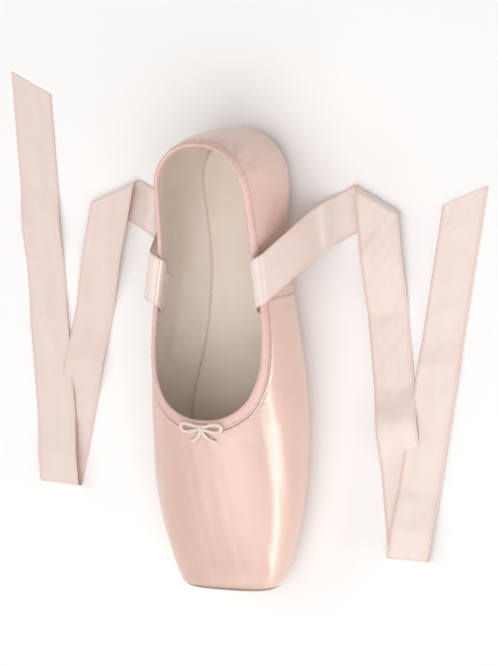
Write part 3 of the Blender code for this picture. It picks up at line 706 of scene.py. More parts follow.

# %% [markdown]
# ### Satin of the upper, the casing and the ribbons
# The three satins share the weave and the unevenness. The upper is stretched over its box and has
# the clearest gloss, the casing is a pinker tape, and the ribbon is lighter, with matt selvedges.
# A fold's trough is painted a little darker: painted shade.

# %% Satin of the upper
box_satin, tree, shader, cloth, spot = new_finish("upper_satin_finish")
weave = grouped(tree, weave_group, Cloth=cloth)
mottle = grouped(tree, mottle_group, Place=spot, Light=(0.735, 0.505, 0.42, 1),
                 Shade=(0.715, 0.482, 0.398, 1))
streaks = grouped(tree, mottle_group, Place=cloth, Across=130.0, Along=9.0,
                  Shade=(0.985, 0.98, 0.978, 1))
color = blended(tree, 1.0, mottle["Color"], streaks["Color"], "MULTIPLY")
# The raised tape over the back seam is painted slightly paler than the satin, as painted sheen.
color = blended(tree, mark(tree, "strip"), color, (0.745, 0.525, 0.45, 1))
# Troughs of the folds, gathers, hem, side seams and pleats are painted darker: painted shade.
color = blended(tree, mark(tree, "crease_shade") * 0.42, color, (0.60, 0.35, 0.27, 1))
# A thin band round the platform's rim is darkened to dark brown, in patches.
tip = grouped(tree, soil_group, Place=spot, Color=color, Mask=mark(tree, "tip"),
              Soiled=(0.19, 0.095, 0.06, 1), Amount=0.92, Patches=0.16, Roughness=0.28)
sockets(tree, shader, Base_Color=tip["Color"], Roughness=streaks["Value"] * 0.03 + tip["Roughness"],
        Normal=bumped(tree, weave["Height"], 0.22, 0.00004), Specular_IOR_Level=1.0,
        Coat_Weight=0.42, Coat_Roughness=0.24, Sheen_Weight=0.06, Sheen_Roughness=0.35,
        Sheen_Tint=(1.0, 0.86, 0.80, 1))

# %% Satin of the casing
tape_satin, tree, shader, cloth, spot = new_finish("casing_satin_finish")
weave = grouped(tree, weave_group, Cloth=cloth, Thread=0.00016, Slub=0.5)
mottle = grouped(tree, mottle_group, Place=spot, Across=150.0, Along=120.0,
                 Light=(0.745, 0.51, 0.465, 1), Shade=(0.715, 0.475, 0.43, 1))
# The stitched groove and the puckers' troughs are painted darker: painted shade.
color = blended(tree, mark(tree, "crease_shade") * 0.6, mottle["Color"], (0.50, 0.24, 0.18, 1))
# The slit at the throat is painted almost black: a painted shadow inside it.
color = blended(tree, mark(tree, "slit"), color, (0.10, 0.045, 0.035, 1))
sockets(tree, shader, Base_Color=color, Roughness=mottle["Value"] * 0.06 + 0.36,
        Normal=bumped(tree, weave["Height"], 0.2, 0.00005), Specular_IOR_Level=0.6,
        Sheen_Weight=0.2, Sheen_Tint=(1.0, 0.82, 0.78, 1))

# %% Satin of the ribbons
ribbon_satin, tree, shader, cloth, spot = new_finish("ribbon_satin_finish")
weave = grouped(tree, weave_group, Cloth=cloth, Thread=0.00015, Float_Length=0.0009, Slub=0.4)
mottle = grouped(tree, mottle_group, Place=cloth, Across=120.0, Along=22.0,
                 Light=(0.83, 0.69, 0.635, 1), Shade=(0.805, 0.66, 0.605, 1))
selvedge = mark(tree, "selvedge")
picks = (parts(tree, cloth)[1] * (2 * math.pi / 0.0011)).math("SINE")
color = blended(tree, selvedge * 0.42, mottle["Color"], (0.70, 0.46, 0.37, 1))
sockets(tree, shader, Base_Color=color, Roughness=selvedge * 0.22 + 0.25,
        Normal=bumped(tree, weave["Height"] + picks * selvedge * 0.8, 0.10, 0.00004),
        Specular_IOR_Level=0.85, Coat_Weight=0.3, Coat_Roughness=0.18, Sheen_Weight=0.05,
        Sheen_Tint=(1.0, 0.9, 0.84, 1))

# %% [markdown]
# ### Cotton, yarn and leather
# The lining is a plain cotton drill, cream and quite matt, and the bow is a braided cotton cord. The
# outsole is pale leather with a small pressed pattern under the forefoot against slipping and a dark
# waxed edge. The insole is covered with thin pale leather, a little rubbed along its edge.

# %% Cotton of the lining and of the bow, and sewing thread
lining_cotton, tree, shader, cloth, spot = new_finish("lining_cotton_finish")
plain = grouped(tree, cotton_group, Cloth=cloth, Thread=0.0005)
mottle = grouped(tree, mottle_group, Place=spot, Across=45.0, Along=40.0,
                 Light=(0.88, 0.80, 0.73, 1), Shade=(0.83, 0.745, 0.67, 1))
# The lines between the threads are painted darker: painted shade.
color = blended(tree, plain["Gap"] * 0.25, mottle["Color"], (0.5, 0.4, 0.33, 1))
sockets(tree, shader, Base_Color=color, Roughness=0.88,
        Normal=bumped(tree, plain["Height"], 0.5, 0.00012))


def yarn_finish(name, pitch, braid, low, crown, roughness, strength, distance):
    """A finish of twisted or braided yarn, with its low and its high colour."""
    material, tree, shader, cloth, spot = new_finish(name)
    yarn = grouped(tree, yarn_group, Cloth=cloth, Pitch=pitch, Braid=braid)
    # The yarn's valleys are painted darker than its crowns: painted shade.
    sockets(tree, shader, Base_Color=blended(tree, yarn["Crown"], low, crown), Roughness=roughness,
            Normal=bumped(tree, yarn["Height"], strength, distance))
    return material, shader


bow_cotton, shader = yarn_finish("bow_cotton_finish", 0.0006, 1.0, (0.75, 0.60, 0.50, 1),
                                 (0.84, 0.72, 0.62, 1), 0.62, 0.5, 0.0001)
shader.inputs["Sheen Weight"].default_value = 0.25
thread_finish, shader = yarn_finish("thread_finish", 0.0003, 0.0, (0.60, 0.37, 0.30, 1),
                                    (0.80, 0.58, 0.49, 1), 0.42, 0.4, 0.00004)

# %% Leather of the outsole
sole_leather, tree, shader, cloth, spot = new_finish("sole_leather_finish")
x, y, z = parts(tree, spot)
grain = grouped(tree, grain_group, Place=spot, Scale=1100.0, Pore=0.35)
mottle = grouped(tree, mottle_group, Place=spot, Across=40.0, Along=30.0,
                 Light=(0.79, 0.635, 0.515, 1), Shade=(0.745, 0.585, 0.465, 1))
PRESS_WIDE = 0.0034
PRESS_TALL = 0.0030
lane = x / PRESS_WIDE
lean = lane.math("FLOOR").math("FLOORED_MODULO", 2.0) * 2.0 - 1.0
inside = lane.math("FRACT") - 0.5
slanted = inside * lean * 0.62 + y / PRESS_TALL
dash = (slanted.math("FRACT") - 0.5).math("ABSOLUTE").ramp(0.10, 0.2, 1.0, 0.0)
dash = dash * inside.math("ABSOLUTE").ramp(0.30, 0.42, 1.0, 0.0)
margin = x.math("ABSOLUTE").ramp(0.0205, 0.0235, 1.0, 0.0) * y.ramp(-0.088, -0.083)
pressed = dash * y.ramp(-0.012, -0.040) * margin
rim = mark(tree, "edge")
color = blended(tree, grain["Pores"] * 0.16, mottle["Color"], (0.52, 0.38, 0.28, 1))
color = blended(tree, pressed * 0.75, color, (0.36, 0.20, 0.13, 1))
# Towards the heel the leather is painted darker and greyer: painted shade.
color = blended(tree, y.ramp(0.045, 0.062, 0.0, 0.40), color, (0.56, 0.44, 0.33, 1))
waxed = grouped(tree, soil_group, Place=spot, Color=color, Mask=rim, Soiled=(0.20, 0.09, 0.055, 1),
                Amount=0.97, Patches=0.08, Roughness=0.62)
sockets(tree, shader, Base_Color=waxed["Color"], Roughness=rim * -0.5 + waxed["Roughness"],
        Normal=bumped(tree, grain["Height"] * 0.5 - pressed, 0.55, 0.0003), Specular_IOR_Level=0.4)

# %% Leather of the insole
sock_cloth, tree, shader, cloth, spot = new_finish("insole_finish")
grain = grouped(tree, grain_group, Place=spot, Scale=1500.0, Pore=0.5)
mottle = grouped(tree, mottle_group, Place=spot, Across=35.0, Along=20.0,
                 Light=(0.88, 0.79, 0.71, 1), Shade=(0.82, 0.725, 0.64, 1))
rubbed = grouped(tree, soil_group, Place=spot, Color=mottle["Color"], Mask=mark(tree, "edge"),
                 Soiled=(0.55, 0.42, 0.32, 1), Amount=0.6, Roughness=0.6)
sockets(tree, shader, Base_Color=rubbed["Color"], Roughness=rubbed["Roughness"],
        Normal=bumped(tree, grain["Height"], 0.25, 0.0001))
print("materials:", [m.name for m in bpy.data.materials])

# %% [markdown]
# ## Ribbons
# A ribbon is a woven satin band about half a metre long, with a firm selvedge on both sides. It is
# sewn inside the shoe behind the side seam. Cloth simulation could drop it, but a ribbon bends and
# never stretches, so here it is a flat strip rolled round a few cylinders: over the casing, down to
# the floor and through its folds. Each bend keeps every length, so the real size is exact.

# %% Bends of a ribbon
def floor_bends(moves):
    """Bends (run, ruling, radius, turn) on the floor: a fold turns over what was up."""
    bends, up = [], -1.0
    for kind, share, ruling, turn, drop in moves:
        run = share * RIBBON_LONG
        if kind == "fold":
            bends.append((run, ruling, FOLD_RADIUS, up * turn))
            up = -up
        if kind == "settle":
            angle = math.radians(turn)
            height = drop * 2 * FOLD_RADIUS
            straight = (height - 2 * SETTLE_RADIUS * (1 - math.cos(angle))) / math.sin(angle)
            bends.append((run, ruling, SETTLE_RADIUS, -up * turn))
            bends.append((straight, ruling, SETTLE_RADIUS, up * turn))
        if kind == "wave":
            bends.append((run, ruling, WAVE_RADIUS, up * turn))
            bends.append((WAVE_RISE, ruling, WAVE_RADIUS, -2 * up * turn))
            bends.append((WAVE_RISE, ruling, WAVE_RADIUS, up * turn))
    return bends


def ribbon_bends(start_height, lean, moves):
    """All bends of a ribbon as (place along its middle, ruling, radius, turn), from its sewn end."""
    hang = math.pi - math.radians(RIBBON_HANG)
    slant = math.radians(RIBBON_SLANT)
    level = FLOOR_CLEAR + RIBBON_THICK / 2
    over = RIBBON_OVER * (math.sin(hang) + math.sin(lean))
    land = RIBBON_LAND * (math.sin(hang) - 1)
    drop = (start_height + over + land - level) / -math.cos(hang)
    rows = [
        (RIBBON_SEWN / math.cos(slant), RIBBON_SLANT, RIBBON_OVER, math.degrees(hang + lean)),
        (drop / math.cos(slant), RIBBON_SLANT, RIBBON_LAND, -math.degrees(hang - math.pi / 2)),
    ]
    at, bends = 0.0, []
    for run, ruling, radius, turn in rows + floor_bends(moves):
        at += run
        bends.append((at, ruling, radius, turn))
        at += radius * math.radians(abs(turn)) / math.cos(math.radians(ruling))
    return [(p, -r, radius, t) if k < 2 else (p, r, radius, t)
            for k, (p, r, radius, t) in enumerate(bends)]


def bend_strip(flat, bends):
    """Carries points (along, across, off) of a flat strip through its bends without a stretch.

    Each bend rolls the strip round a cylinder whose axis lies along the ruling. The last bend is
    made first, so each one turns all of the strip beyond it as one piece.
    """
    moved = flat.copy()
    for at, ruling, radius, turn in reversed(bends):
        g = math.radians(ruling)
        sign = math.copysign(1.0, turn)
        whole = math.radians(abs(turn))
        beyond = (flat[:, 0] - at) * math.cos(g) - flat[:, 1] * math.sin(g)
        along = (moved[:, 0] - at) * math.cos(g) - moved[:, 1] * math.sin(g)
        across = (moved[:, 0] - at) * math.sin(g) + moved[:, 1] * math.cos(g)
        off = moved[:, 2] * sign
        angle = np.clip(beyond / radius, 0, whole)
        rest = along - np.clip(beyond, 0, radius * whole)
        new_along = radius * np.sin(angle) + rest * np.cos(angle) - off * np.sin(angle)
        new_off = radius * (1 - np.cos(angle)) + rest * np.sin(angle) + off * np.cos(angle)
        moved[:, 0] = at + new_along * math.cos(g) + across * math.sin(g)
        moved[:, 1] = across * math.cos(g) - new_along * math.sin(g)
        moved[:, 2] = new_off * sign
    return moved


# %% Where a ribbon is sewn
def ribbon_seat(frame_points):
    """Start point, long axis, wide axis, way off the wall and lean of a ribbon on the side x > 0."""
    middle, normal, inward = frame_points
    rows = len(middle) // 2
    tangent = np.roll(middle, -1, axis=0) - np.roll(middle, 1, axis=0)
    order = np.argsort(middle[:rows, 1])

    def read(values):
        return np.array([np.interp(SEAM_AT + RIBBON_BEHIND, middle[:rows, 1][order], c)
                         for c in values[:rows][order].T])

    edge = read(middle)
    across = unit(read(tangent) * (1, 1, 0))
    up = read(inward)
    up = unit(up - across * np.dot(up, across))
    out = np.cross(up, across)
    lean = math.atan2(-(up[0] * -across[1] + up[1] * across[0]), up[2])
    off = BINDING_THICK / 2 + RIBBON_INSIDE + RIBBON_THICK / 2
    start = edge + up * (GAP + BINDING_TALL) - out * off
    g = math.radians(RIBBON_SLANT)
    return (start, up * math.cos(g) - across * math.sin(g), up * math.sin(g) + across * math.cos(g),
            out, lean)


# %% Make a ribbon
SATIN_THICK = 0.34
SELVEDGE = 0.9
RIBBON_ROWS = 760
RIPPLE_TALL, RIPPLE_FINE = 0.20, 0.14


def on_ribbon(flat, side, moves):
    """Carries points (along, across, off) of the flat ribbon to their places on the shoe."""
    start, long_axis, wide_axis, out, lean = ribbon_seat(solid_frame)
    moved = bend_strip(flat.reshape(-1, 3), ribbon_bends(start[2], lean, moves))
    moved[:, 0] -= RIBBON_SEWN / math.cos(math.radians(RIBBON_SLANT))
    grid = start + moved[:, :1] * long_axis + moved[:, 1:2] * wide_axis + moved[:, 2:] * out
    grid[:, 0] *= side
    return grid.reshape(flat.shape)


def make_ribbon(name, side, moves, seed, material):
    """A satin band: a closed strip, thicker at its selvedges and a little uneven between them."""
    along = np.linspace(0, 1, RIBBON_ROWS)[:, None]
    q = np.array((0, .2, .4, .6, .8, .92, .95, .985, 1))
    q = np.concatenate((-q[:0:-1], q))[None, :]
    wide = q * RIBBON_WIDE / 2
    steep = math.tan(math.radians(RIBBON_CUT))
    run = along * (RIBBON_LONG - RIBBON_WIDE / 2 * steep + wide * steep)
    edge = smooth_step(np.abs(wide), RIBBON_WIDE / 2 - SELVEDGE - 0.2, RIBBON_WIDE / 2 - SELVEDGE)
    thick = SATIN_THICK + 0.16 * edge * np.sqrt(np.clip(1 - q ** 8, 0, 1))
    thick = thick * np.where(np.abs(q) == 1, 0.0, 1.0)
    loose = smooth_step(run, 70, 95) * (1 - 0.6 * edge)
    ripple = loose * (RIPPLE_TALL * uneven(run, 23.0, seed) * np.cos(wide / 7.0 + seed)
                      + RIPPLE_FINE * uneven(run + 1.2 * wide, 9.0, seed + 1))
    panels = []
    for face in (1.0, -1.0):
        flat = np.stack(np.broadcast_arrays(run, wide, ripple + face * thick / 2), axis=2)
        cloth = np.stack(np.broadcast_arrays(wide, run), axis=2)
        panels.append((on_ribbon(flat, side, moves), cloth, 0, {"selvedge": edge + 0 * run}))
    for row in (0, -1):
        ends = [np.stack((panels[0][k][row], panels[1][k][row])) for k in (0, 1)]
        panels.append((ends[0], ends[1], 0, {"selvedge": 0.6}))
    piece = sewn(name, panels, [material], marks=("selvedge",))
    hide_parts(name.replace("satin_", ""))
    return piece


ribbons = [make_ribbon("satin_ribbon_right", 1.0, RIBBON_RIGHT, 0.7, ribbon_satin),
           make_ribbon("satin_ribbon_left", -1.0, RIBBON_LEFT, 2.9, ribbon_satin)]

# %% [markdown]
# ## Bow
# The drawstring is a thin cotton cord. Its two ends leave the casing through a slit at the throat
# and are tied in a small bow. Each half is one cord: out of the slit, through the knot, round its
# loop, back through the knot and out as a short end. A smooth curve through a few points is enough
# for a cord this short, and a round profile carried along it gives the cord its body.

# %% Routes of the cord
def smooth_route(points, steps):
    """A smooth curve through the points, by the Catmull-Rom formula."""
    p = np.array([points[0], *points, points[-1]], dtype=float)
    q = (np.arange(steps) / steps)[None, :, None]
    a, b, c, d = (p[k:len(p) - 3 + k, None] for k in range(4))
    route = (2 * b + (c - a) * q + (2 * a - 5 * b + 4 * c - d) * q ** 2
             + (3 * b - a - 3 * c + d) * q ** 3) / 2
    return np.concatenate((route.reshape(-1, 3), p[-2:-1]))


def closed_tube(route, radius, sides, first, round_end):
    """Rings of a round cord along a route, drawn in to a point at both ends, and its cloth places.

    Each ring's side is carried on from the ring before, so that the cord isn't wrung.
    """
    tangent = unit(np.gradient(route, axis=0))
    side = np.empty_like(route)
    side[0] = unit(np.cross(tangent[0], first))
    for k in range(1, len(route)):
        side[k] = unit(side[k - 1] - tangent[k] * np.dot(side[k - 1], tangent[k]))
    turn = np.linspace(0, 2 * math.pi, sides + 1)[None, :, None]
    around = np.cos(turn) * side[:, None] + np.sin(turn) * np.cross(tangent, side)[:, None]
    away = lengths(route[:, None], 0)
    near = np.minimum(away, away[-1] - away)
    size = radius * np.sqrt(1 - np.clip(1 - near / round_end, 0, 1) ** 2)
    round_place = np.linspace(0, 2 * math.pi * radius, sides + 1)[None, :]
    return (route[:, None] + around * size[..., None],
            np.stack(np.broadcast_arrays(round_place, away), axis=2))


KNOT_HIGH = 0.64 * KNOT
throat_point, bow_up, bow_back = (part[len(part) // 2] for part in solid_frame)
bow_seat = (throat_point + bow_back * (GAP + BINDING_TALL / 2)
            + bow_up * (BINDING_THICK / 2 + GAP + KNOT_HIGH))


def on_bow(points, side):
    """Places on the bow, given as shares of BOW beside, behind and above its seat."""
    p = np.asarray(points, dtype=float) * BOW
    return bow_seat + side * p[:, :1] * (1, 0, 0) + p[:, 1:2] * bow_back + p[:, 2:] * bow_up


# %% Make the bow
CORD_SIDES = 14
OUT_OF_SLIT = ((0.05, 0.02, -0.20), (0.06, 0.10, -0.08), (0.12, 0.12, 0.04))
THROUGH_KNOT = ((0.10, -0.06, 0.04), (0.06, -0.20, 0.03))
for word, side in (("right", 1.0), ("left", -1.0)):
    route = smooth_route(on_bow(OUT_OF_SLIT + BOW_LOOP + THROUGH_KNOT + BOW_END, side), 8)
    grid, cloth = closed_tube(route, CORD / 2, CORD_SIDES, bow_up, CORD * 0.4)
    piece = sewn("bow_cord_" + word, [(grid, cloth, 0, {})], [bow_cotton])
    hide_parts("bow_loop_" + word, "bow_end_" + word)
    print(word, "cord length in mm:", round(float(lengths(route[:, None], 0)[-1, 0]), 1))

turn = np.linspace(0, 2 * math.pi, 29)
wrap = np.stack((0.14 * np.sin(turn * 0.5) - 0.07, 0.155 * np.cos(turn) - 0.03,
                 0.11 * np.sin(turn)), axis=1)
route = smooth_route(on_bow(wrap, 1.0), 3)
grid, cloth = closed_tube(route, CORD * 0.48, CORD_SIDES, (1.0, 0.0, 0.0), 0.5)
knot = sewn("bow_wrap", [(grid, cloth, 0, {})], [bow_cotton])
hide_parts("bow_knot")

# %% [markdown]
# ## Upper
# The upper is satin over a box of paste-stiffened cloth, with a cotton lining inside. It is the same
# surface as the imported model's, with many more points, so that it can carry folds. The main folds
# are listed in the shoe's own sizes: each is a soft trough or ridge along a short line on
# the satin. A cloth simulation would crease it somewhere else on every change of the last.

# %% A fine surface of the last
fine_at, fine_swing = stations(swings=56, quarters=62, vamps=86, boxes=76, tips=34, rounds=10)
FINE = (18, 28, 52)
LINING = (7, 10, 22)
collar_rows = int(np.sum(fine_at > THROAT_AT)) + 1
opening_rows = int(np.sum(fine_at > OUTSOLE_FRONT + OPENING_MARGIN)) + 1
satin_side = skin(fine_at, fine_swing, FINE, False)
lining_side = skin(fine_at, fine_swing, LINING, True)
print("satin grid:", satin_side.shape, "lining grid:", lining_side.shape)


def skin_normals(grid):
    """Outward unit normals of a half skin: one grid direction crossed with the other."""
    normal = unit(np.cross(np.gradient(grid, axis=1), np.gradient(grid, axis=0)))
    normal[0, :, 0] = 0.0
    normal[collar_rows - 1:, -1, 0] = 0.0
    normal[opening_rows - 1:, 0, 0] = 0.0
    return unit(normal)


def on_satin(at, level, grid=satin_side):
    """Points on a fine half skin: at along the shoe, level from -1 (flat) over 0 to 1 (collar)."""
    row = np.interp(-np.asarray(at, dtype=float), -fine_at, np.arange(len(fine_at)))
    flats, lows, highs = FINE
    level = np.asarray(level, dtype=float)
    col = flats + np.where(level < 0, (1 + level) * lows, lows + level * highs)
    r0 = np.minimum(row.astype(int), len(fine_at) - 2)
    c0 = np.minimum(col.astype(int), satin_side.shape[1] - 2)
    fr, fc = (row - r0)[..., None], (col - c0)[..., None]
    return ((grid[r0, c0] * (1 - fr) + grid[r0 + 1, c0] * fr) * (1 - fc)
            + (grid[r0, c0 + 1] * (1 - fr) + grid[r0 + 1, c0 + 1] * fr) * fc)


# %% Folds listed one by one
# Each fold runs from one place on the satin to another. The columns are: side (1 right, -1 left,
# 0 both), at and level of its start, at and level of its end, half width in mm, height in mm.
# Heights below zero are troughs.
FOLDS = (
    (0, 94.0, 0.97, 70.0, 0.72, 3.4, 0.45), (0, 90.0, 0.90, 76.0, 0.55, 2.4, -0.35),
    (0, 86.0, 0.99, 66.0, 0.90, 3.0, 0.30), (1, 84.0, 0.99, 55.0, 0.93, 2.4, -0.22),
    (-1, 84.0, 0.99, 52.0, 0.88, 2.8, -0.26), (0, 104.0, 0.92, 88.0, 0.50, 3.6, 0.34),
    (0, 112.0, 0.90, 104.0, 0.30, 3.2, -0.30), (1, 128.0, 0.90, 120.0, 0.25, 3.4, 0.26),
    (-1, 124.0, 0.92, 114.0, 0.15, 3.8, 0.28), (1, 138.0, 0.85, 134.0, 0.10, 2.6, -0.24),
    (-1, 140.0, 0.85, 131.0, 0.05, 3.0, -0.26), (0, 146.5, 0.93, 147.5, -0.30, 2.2, -0.22),
    (0, 158.5, 0.95, 162.0, -0.35, 2.6, 0.50), (0, 166.0, 0.90, 172.0, 0.00, 2.8, -0.34),
    (0, 174.0, 0.92, 186.0, 0.10, 3.4, 0.36), (1, 182.0, 0.70, 204.0, 0.05, 3.6, -0.34),
    (-1, 180.0, 0.75, 206.0, 0.00, 3.8, -0.36), (0, 192.0, 0.55, 222.0, 0.10, 4.2, 0.38),
    (1, 206.0, 0.93, 212.0, 0.55, 2.2, -0.40), (-1, 204.0, 0.94, 211.0, 0.50, 2.4, -0.40),
    (0, 215.0, 0.95, 218.5, 0.55, 1.9, 0.42), (0, 221.5, 0.95, 224.0, 0.45, 1.7, -0.44),
    (0, 226.5, 0.96, 228.5, 0.60, 1.5, 0.40), (0, 230.5, 0.95, 231.8, 0.50, 1.4, -0.34),
    (0, 233.5, 0.95, 234.0, 0.62, 1.3, 0.28), (0, 200.0, -0.10, 226.0, -0.20, 4.0, -0.30),
    (0, 150.0, -0.20, 176.0, -0.40, 4.2, 0.30), (1, 60.0, 0.20, 36.0, 0.10, 5.0, 0.22),
    (-1, 66.0, 0.28, 34.0, 0.16, 5.5, 0.24), (0, 50.0, 0.62, 18.0, 0.60, 5.0, -0.16),
    (0, 58.0, 0.44, 22.0, 0.40, 4.4, 0.16), (1, 70.0, 0.97, 22.0, 0.98, 4.0, 0.12),
)


FOLD_STEPS = 16


def fold_height(points, side, folds):
    """Sum of the folds' heights: a bell across each fold, and thin at both of its ends.

    A fold on one side only fades out towards the middle line, where both sides meet.
    """
    total = np.zeros(points.shape[:-1])
    q = np.linspace(0, 1, FOLD_STEPS + 1)
    for which, at0, level0, at1, level1, wide, tall in folds:
        if which not in (0, side):
            continue
        line = on_satin(at0 + (at1 - at0) * q, level0 + (level1 - level0) * q)
        around = np.all((points > line.min(axis=0) - 3 * wide)
                        & (points < line.max(axis=0) + 3 * wide), axis=-1)
        some = points[around]
        near, share = np.full(len(some), np.inf), np.zeros(len(some))
        for a, b, k in zip(line[:-1], line[1:], q[:-1]):
            span = b - a
            t = np.clip((some - a) @ span / np.dot(span, span), 0, 1)
            gap = np.linalg.norm(some - a - t[:, None] * span, axis=1)
            share = np.where(gap < near, k + t * q[1], share)
            near = np.minimum(gap, near)
        height = tall * np.sin(np.clip(share, 0, 1) * math.pi) ** 0.7 * bell(near, wide)
        aside = smooth_step(np.abs(some[:, 0]), 0.0, 6.0)
        total[around] += height if which == 0 else height * aside
    return total


# %% Pleats under the toe
PLEAT = 5.4
PLEAT_DEEP = 0.62
PLEAT_PUFF = 0.22
PLEAT_NARROW = 0.105


def sole_place(points):
    """Distance out from the outsole's edge, and running length round its front, in mm."""
    x, at = np.abs(points[..., 0]), points[..., 1]
    turning = OUTSOLE_FRONT + FRONT_ROUND  # where the front's round begins
    side = sole_half(np.maximum(at, turning), 0.0, 0.0)
    ahead = np.maximum(turning - at, 0)
    size = np.hypot(x / side, ahead / FRONT_ROUND)
    angle = np.arctan2(ahead / FRONT_ROUND, x / side)
    run = np.where(ahead > 0, -angle * (side + FRONT_ROUND) / 2, at - turning)
    return (size - 1) * side, run


def pleat_height(points):
    """Pleats that fan out from the outsole's front: narrow troughs with puffed satin between."""
    out, run = sole_place(points)
    away = np.hypot(np.maximum(out, 0), points[..., 2] - base_height(points[..., 1]))
    turn = run / PLEAT + 0.16 * np.sin(run * 0.61) + 0.10 * np.sin(run * 1.37 + 1.0)
    phase = turn - np.round(turn)
    deep = bell(phase, PLEAT_NARROW)
    reach = 15.0 + 6.0 * np.sin(np.round(turn) * 2.4)
    share = (smooth_step(out, 0.5, 2.2) * (1 - smooth_step(away, reach - 8.0, reach))
             * (1 - smooth_step(run, -18, 2)) * smooth_step(points[..., 1], 2.5, 8.0))
    return (-PLEAT_PUFF * np.cos(phase * 2 * math.pi) - PLEAT_DEEP * deep) * share, deep * share


# %% Gathers along the casing, the back strip and the side seam
SEAM_LINES = (154.2, 157.4)
# Raised and sunk lines across the quarter, at the side seam: place, half width and height in mm.
SEAM_RIDGES = ((SEAM_AT - 1.6, 1.0, 0.20), (SEAM_LINES[0] + 1.4, 0.9, 0.16))
SEAM_TROUGHS = ((SEAM_AT + 0.6, 0.7, -0.34), (SEAM_LINES[1], 0.5, -0.16))
GATHER_TALL, GATHER_LONG = 0.26, 5.5
HEM_DEEP = 0.30
STRIP_HALF, STRIP_TALL = 4.4, 0.24
BACK_SEAM_DEEP = 0.25
LOOSE_TALL = 0.10


def satin_relief(points, side):
    """Height of everything on the satin, and its marks, for one side of the shoe."""
    at, wide = points[..., 1], np.abs(points[..., 0])
    up = lengths(satin_side, 1)
    has_collar = np.arange(len(points))[:, None] < collar_rows
    edge = np.where(has_collar, up[:, -1:] - up, 99.0)
    around = lengths(satin_side, 0)[:, -1:] * side
    tight = 0.5 + 0.5 * smooth_step(at, 200, 232) + 0.35 * (1 - smooth_step(at, 86, 120))
    gathers = (GATHER_TALL * uneven(around + 0.25 * edge, 5.2, 1.3) * tight
               * smooth_step(wide, 0.0, 3.0) * bell(edge, GATHER_LONG) * smooth_step(edge, 0.0, 1.2))
    hem = -HEM_DEEP * bell(edge - 0.6, 0.9)
    pleats, pleated = pleat_height(points)
    folds = fold_height(points * (side, 1, 1), side, FOLDS)
    ridge, trough = (sum(tall * bell(at - place, half) for place, half, tall in rows)
                     for rows in (SEAM_RIDGES, SEAM_TROUGHS))
    under = smooth_step(sole_place(points)[0], 0.4, 2.4)
    seen = np.where(points[..., 2] < base_height(at) + 1.5, under, 1.0)
    strip_edge = wide - STRIP_HALF - 0.25 * np.sin(points[..., 2] / 4.5)
    strip = (1 - smooth_step(strip_edge, -0.35, 0.35)) * (at > HEEL_AXIS)
    loose = (LOOSE_TALL * uneven(points[..., 0] + 0.10 * at, 8.5, 0.4)
             * (1 - smooth_step(at, 70, 110)) * smooth_step(points[..., 2], 8, 20))
    back_seam = -BACK_SEAM_DEEP * bell(wide, 0.7) * (at > HEEL_AXIS)
    total = (gathers + hem + pleats + folds * seen + (ridge + trough) * seen + loose
             + STRIP_TALL * strip + back_seam)
    # Marks the troughs of the relief, which the satin's finish paints darker as painted shade.
    crease_shade = np.clip(-(gathers + hem + 0.45 * folds + trough) * 1.7 + pleated * 0.8, 0, 1)
    tip = (1 - smooth_step(at, 1.9, 2.7)) * (0.14 + 0.86 * smooth_step(at, 0.15, 0.75))
    return total * smooth_step(at, 0.0, 3.0), {"crease_shade": crease_shade, "strip": strip, "tip": tip}


# %% Make the upper
PLATFORM_HIGH = 14.0
SATIN_CAP, LINING_CAP = 24, 6


def pointed(grid, places, marks, rings):
    """Closes the toe's platform: the last section shrinks to one point, in a few rings."""
    last = grid[-1]
    centre = np.array((0.0, last[0, 1], (last[0, 2] + last[-1, 2]) / 2))
    q = 1 - np.arange(1, rings + 1)[:, None] / rings
    caps = centre + (last - centre) * q[..., None]
    flat = np.stack((places[-1, :, 0] * q, places[-1, :, 1] + (1 - q) * PLATFORM_HIGH), axis=2)
    wider = {}
    for key, value in marks.items():
        value = np.broadcast_to(value, grid.shape[:2])
        wider[key] = np.concatenate((value, value[-1:] * q))
    return np.concatenate((grid, caps)), np.concatenate((places, flat)), wider


panels, satin_sides = [], {}
normals = skin_normals(satin_side)
# The cloth is measured from the widest level, which is this column of the grid.
widest_column = [FINE[0] + FINE[1]]
across, along = lengths(satin_side, 1), lengths(satin_side, 0)
across = across - across[:, widest_column]
for side in (1, -1):
    flip = np.array((side, 1.0, 1.0))
    satin = satin_side * flip
    height, marks = satin_relief(satin, side)
    satin = satin + normals * flip * height[..., None]
    satin_sides[side] = (satin, normals * flip)
    cloth = np.stack((across * side, np.broadcast_to(along[:, widest_column], across.shape)), axis=2)
    lining = lining_side * flip
    inside = np.stack((lengths(lining_side, 1) * side,
                       np.broadcast_to(fine_at[:, None], lining.shape[:2])), axis=2)
    outer = pointed(satin, cloth, marks, SATIN_CAP)
    inner = pointed(lining, inside, {}, LINING_CAP)
    panels += [(outer[0], outer[1], 0, outer[2]), (inner[0], inner[1], 1, {})]
    for border, rows in ((-1, collar_rows), (0, opening_rows)):
        strip = np.stack((satin[:rows, border], lining[:rows, border]))
        places = np.stack((cloth[:rows, border], inside[:rows, border]))
        panels.append((strip, places, 1, {}))
upper = sewn("satin_upper", panels, [box_satin, lining_cotton],
             marks=("crease_shade", "strip", "tip"))
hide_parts("upper")

# %% [markdown]
# ## Casing
# The collar is bound with a folded satin tape, stitched along its lower edge, and the drawstring
# runs inside it. An oval profile carried round the collar gives the tape, a groove near its lower
# edge gives the stitched line, and small uneven puckers show where the cord pulls.

# %% Make the casing
fine_frame = collar_frame(fine_at, fine_swing, FINE)


CASING_SIDES = 40
CASING_SQUARE = 2 / 2.4
GROOVE_DEEP, GROOVE_BELOW = 0.34, 1.7
SLIT_DEEP, SLIT_ABOVE = 0.75, 0.3
PUCKER_TALL = 0.15


def squarish(wave):
    """A sine or cosine pushed outwards, which turns a circle into a squarer oval."""
    return np.sign(wave) * np.abs(wave) ** CASING_SQUARE


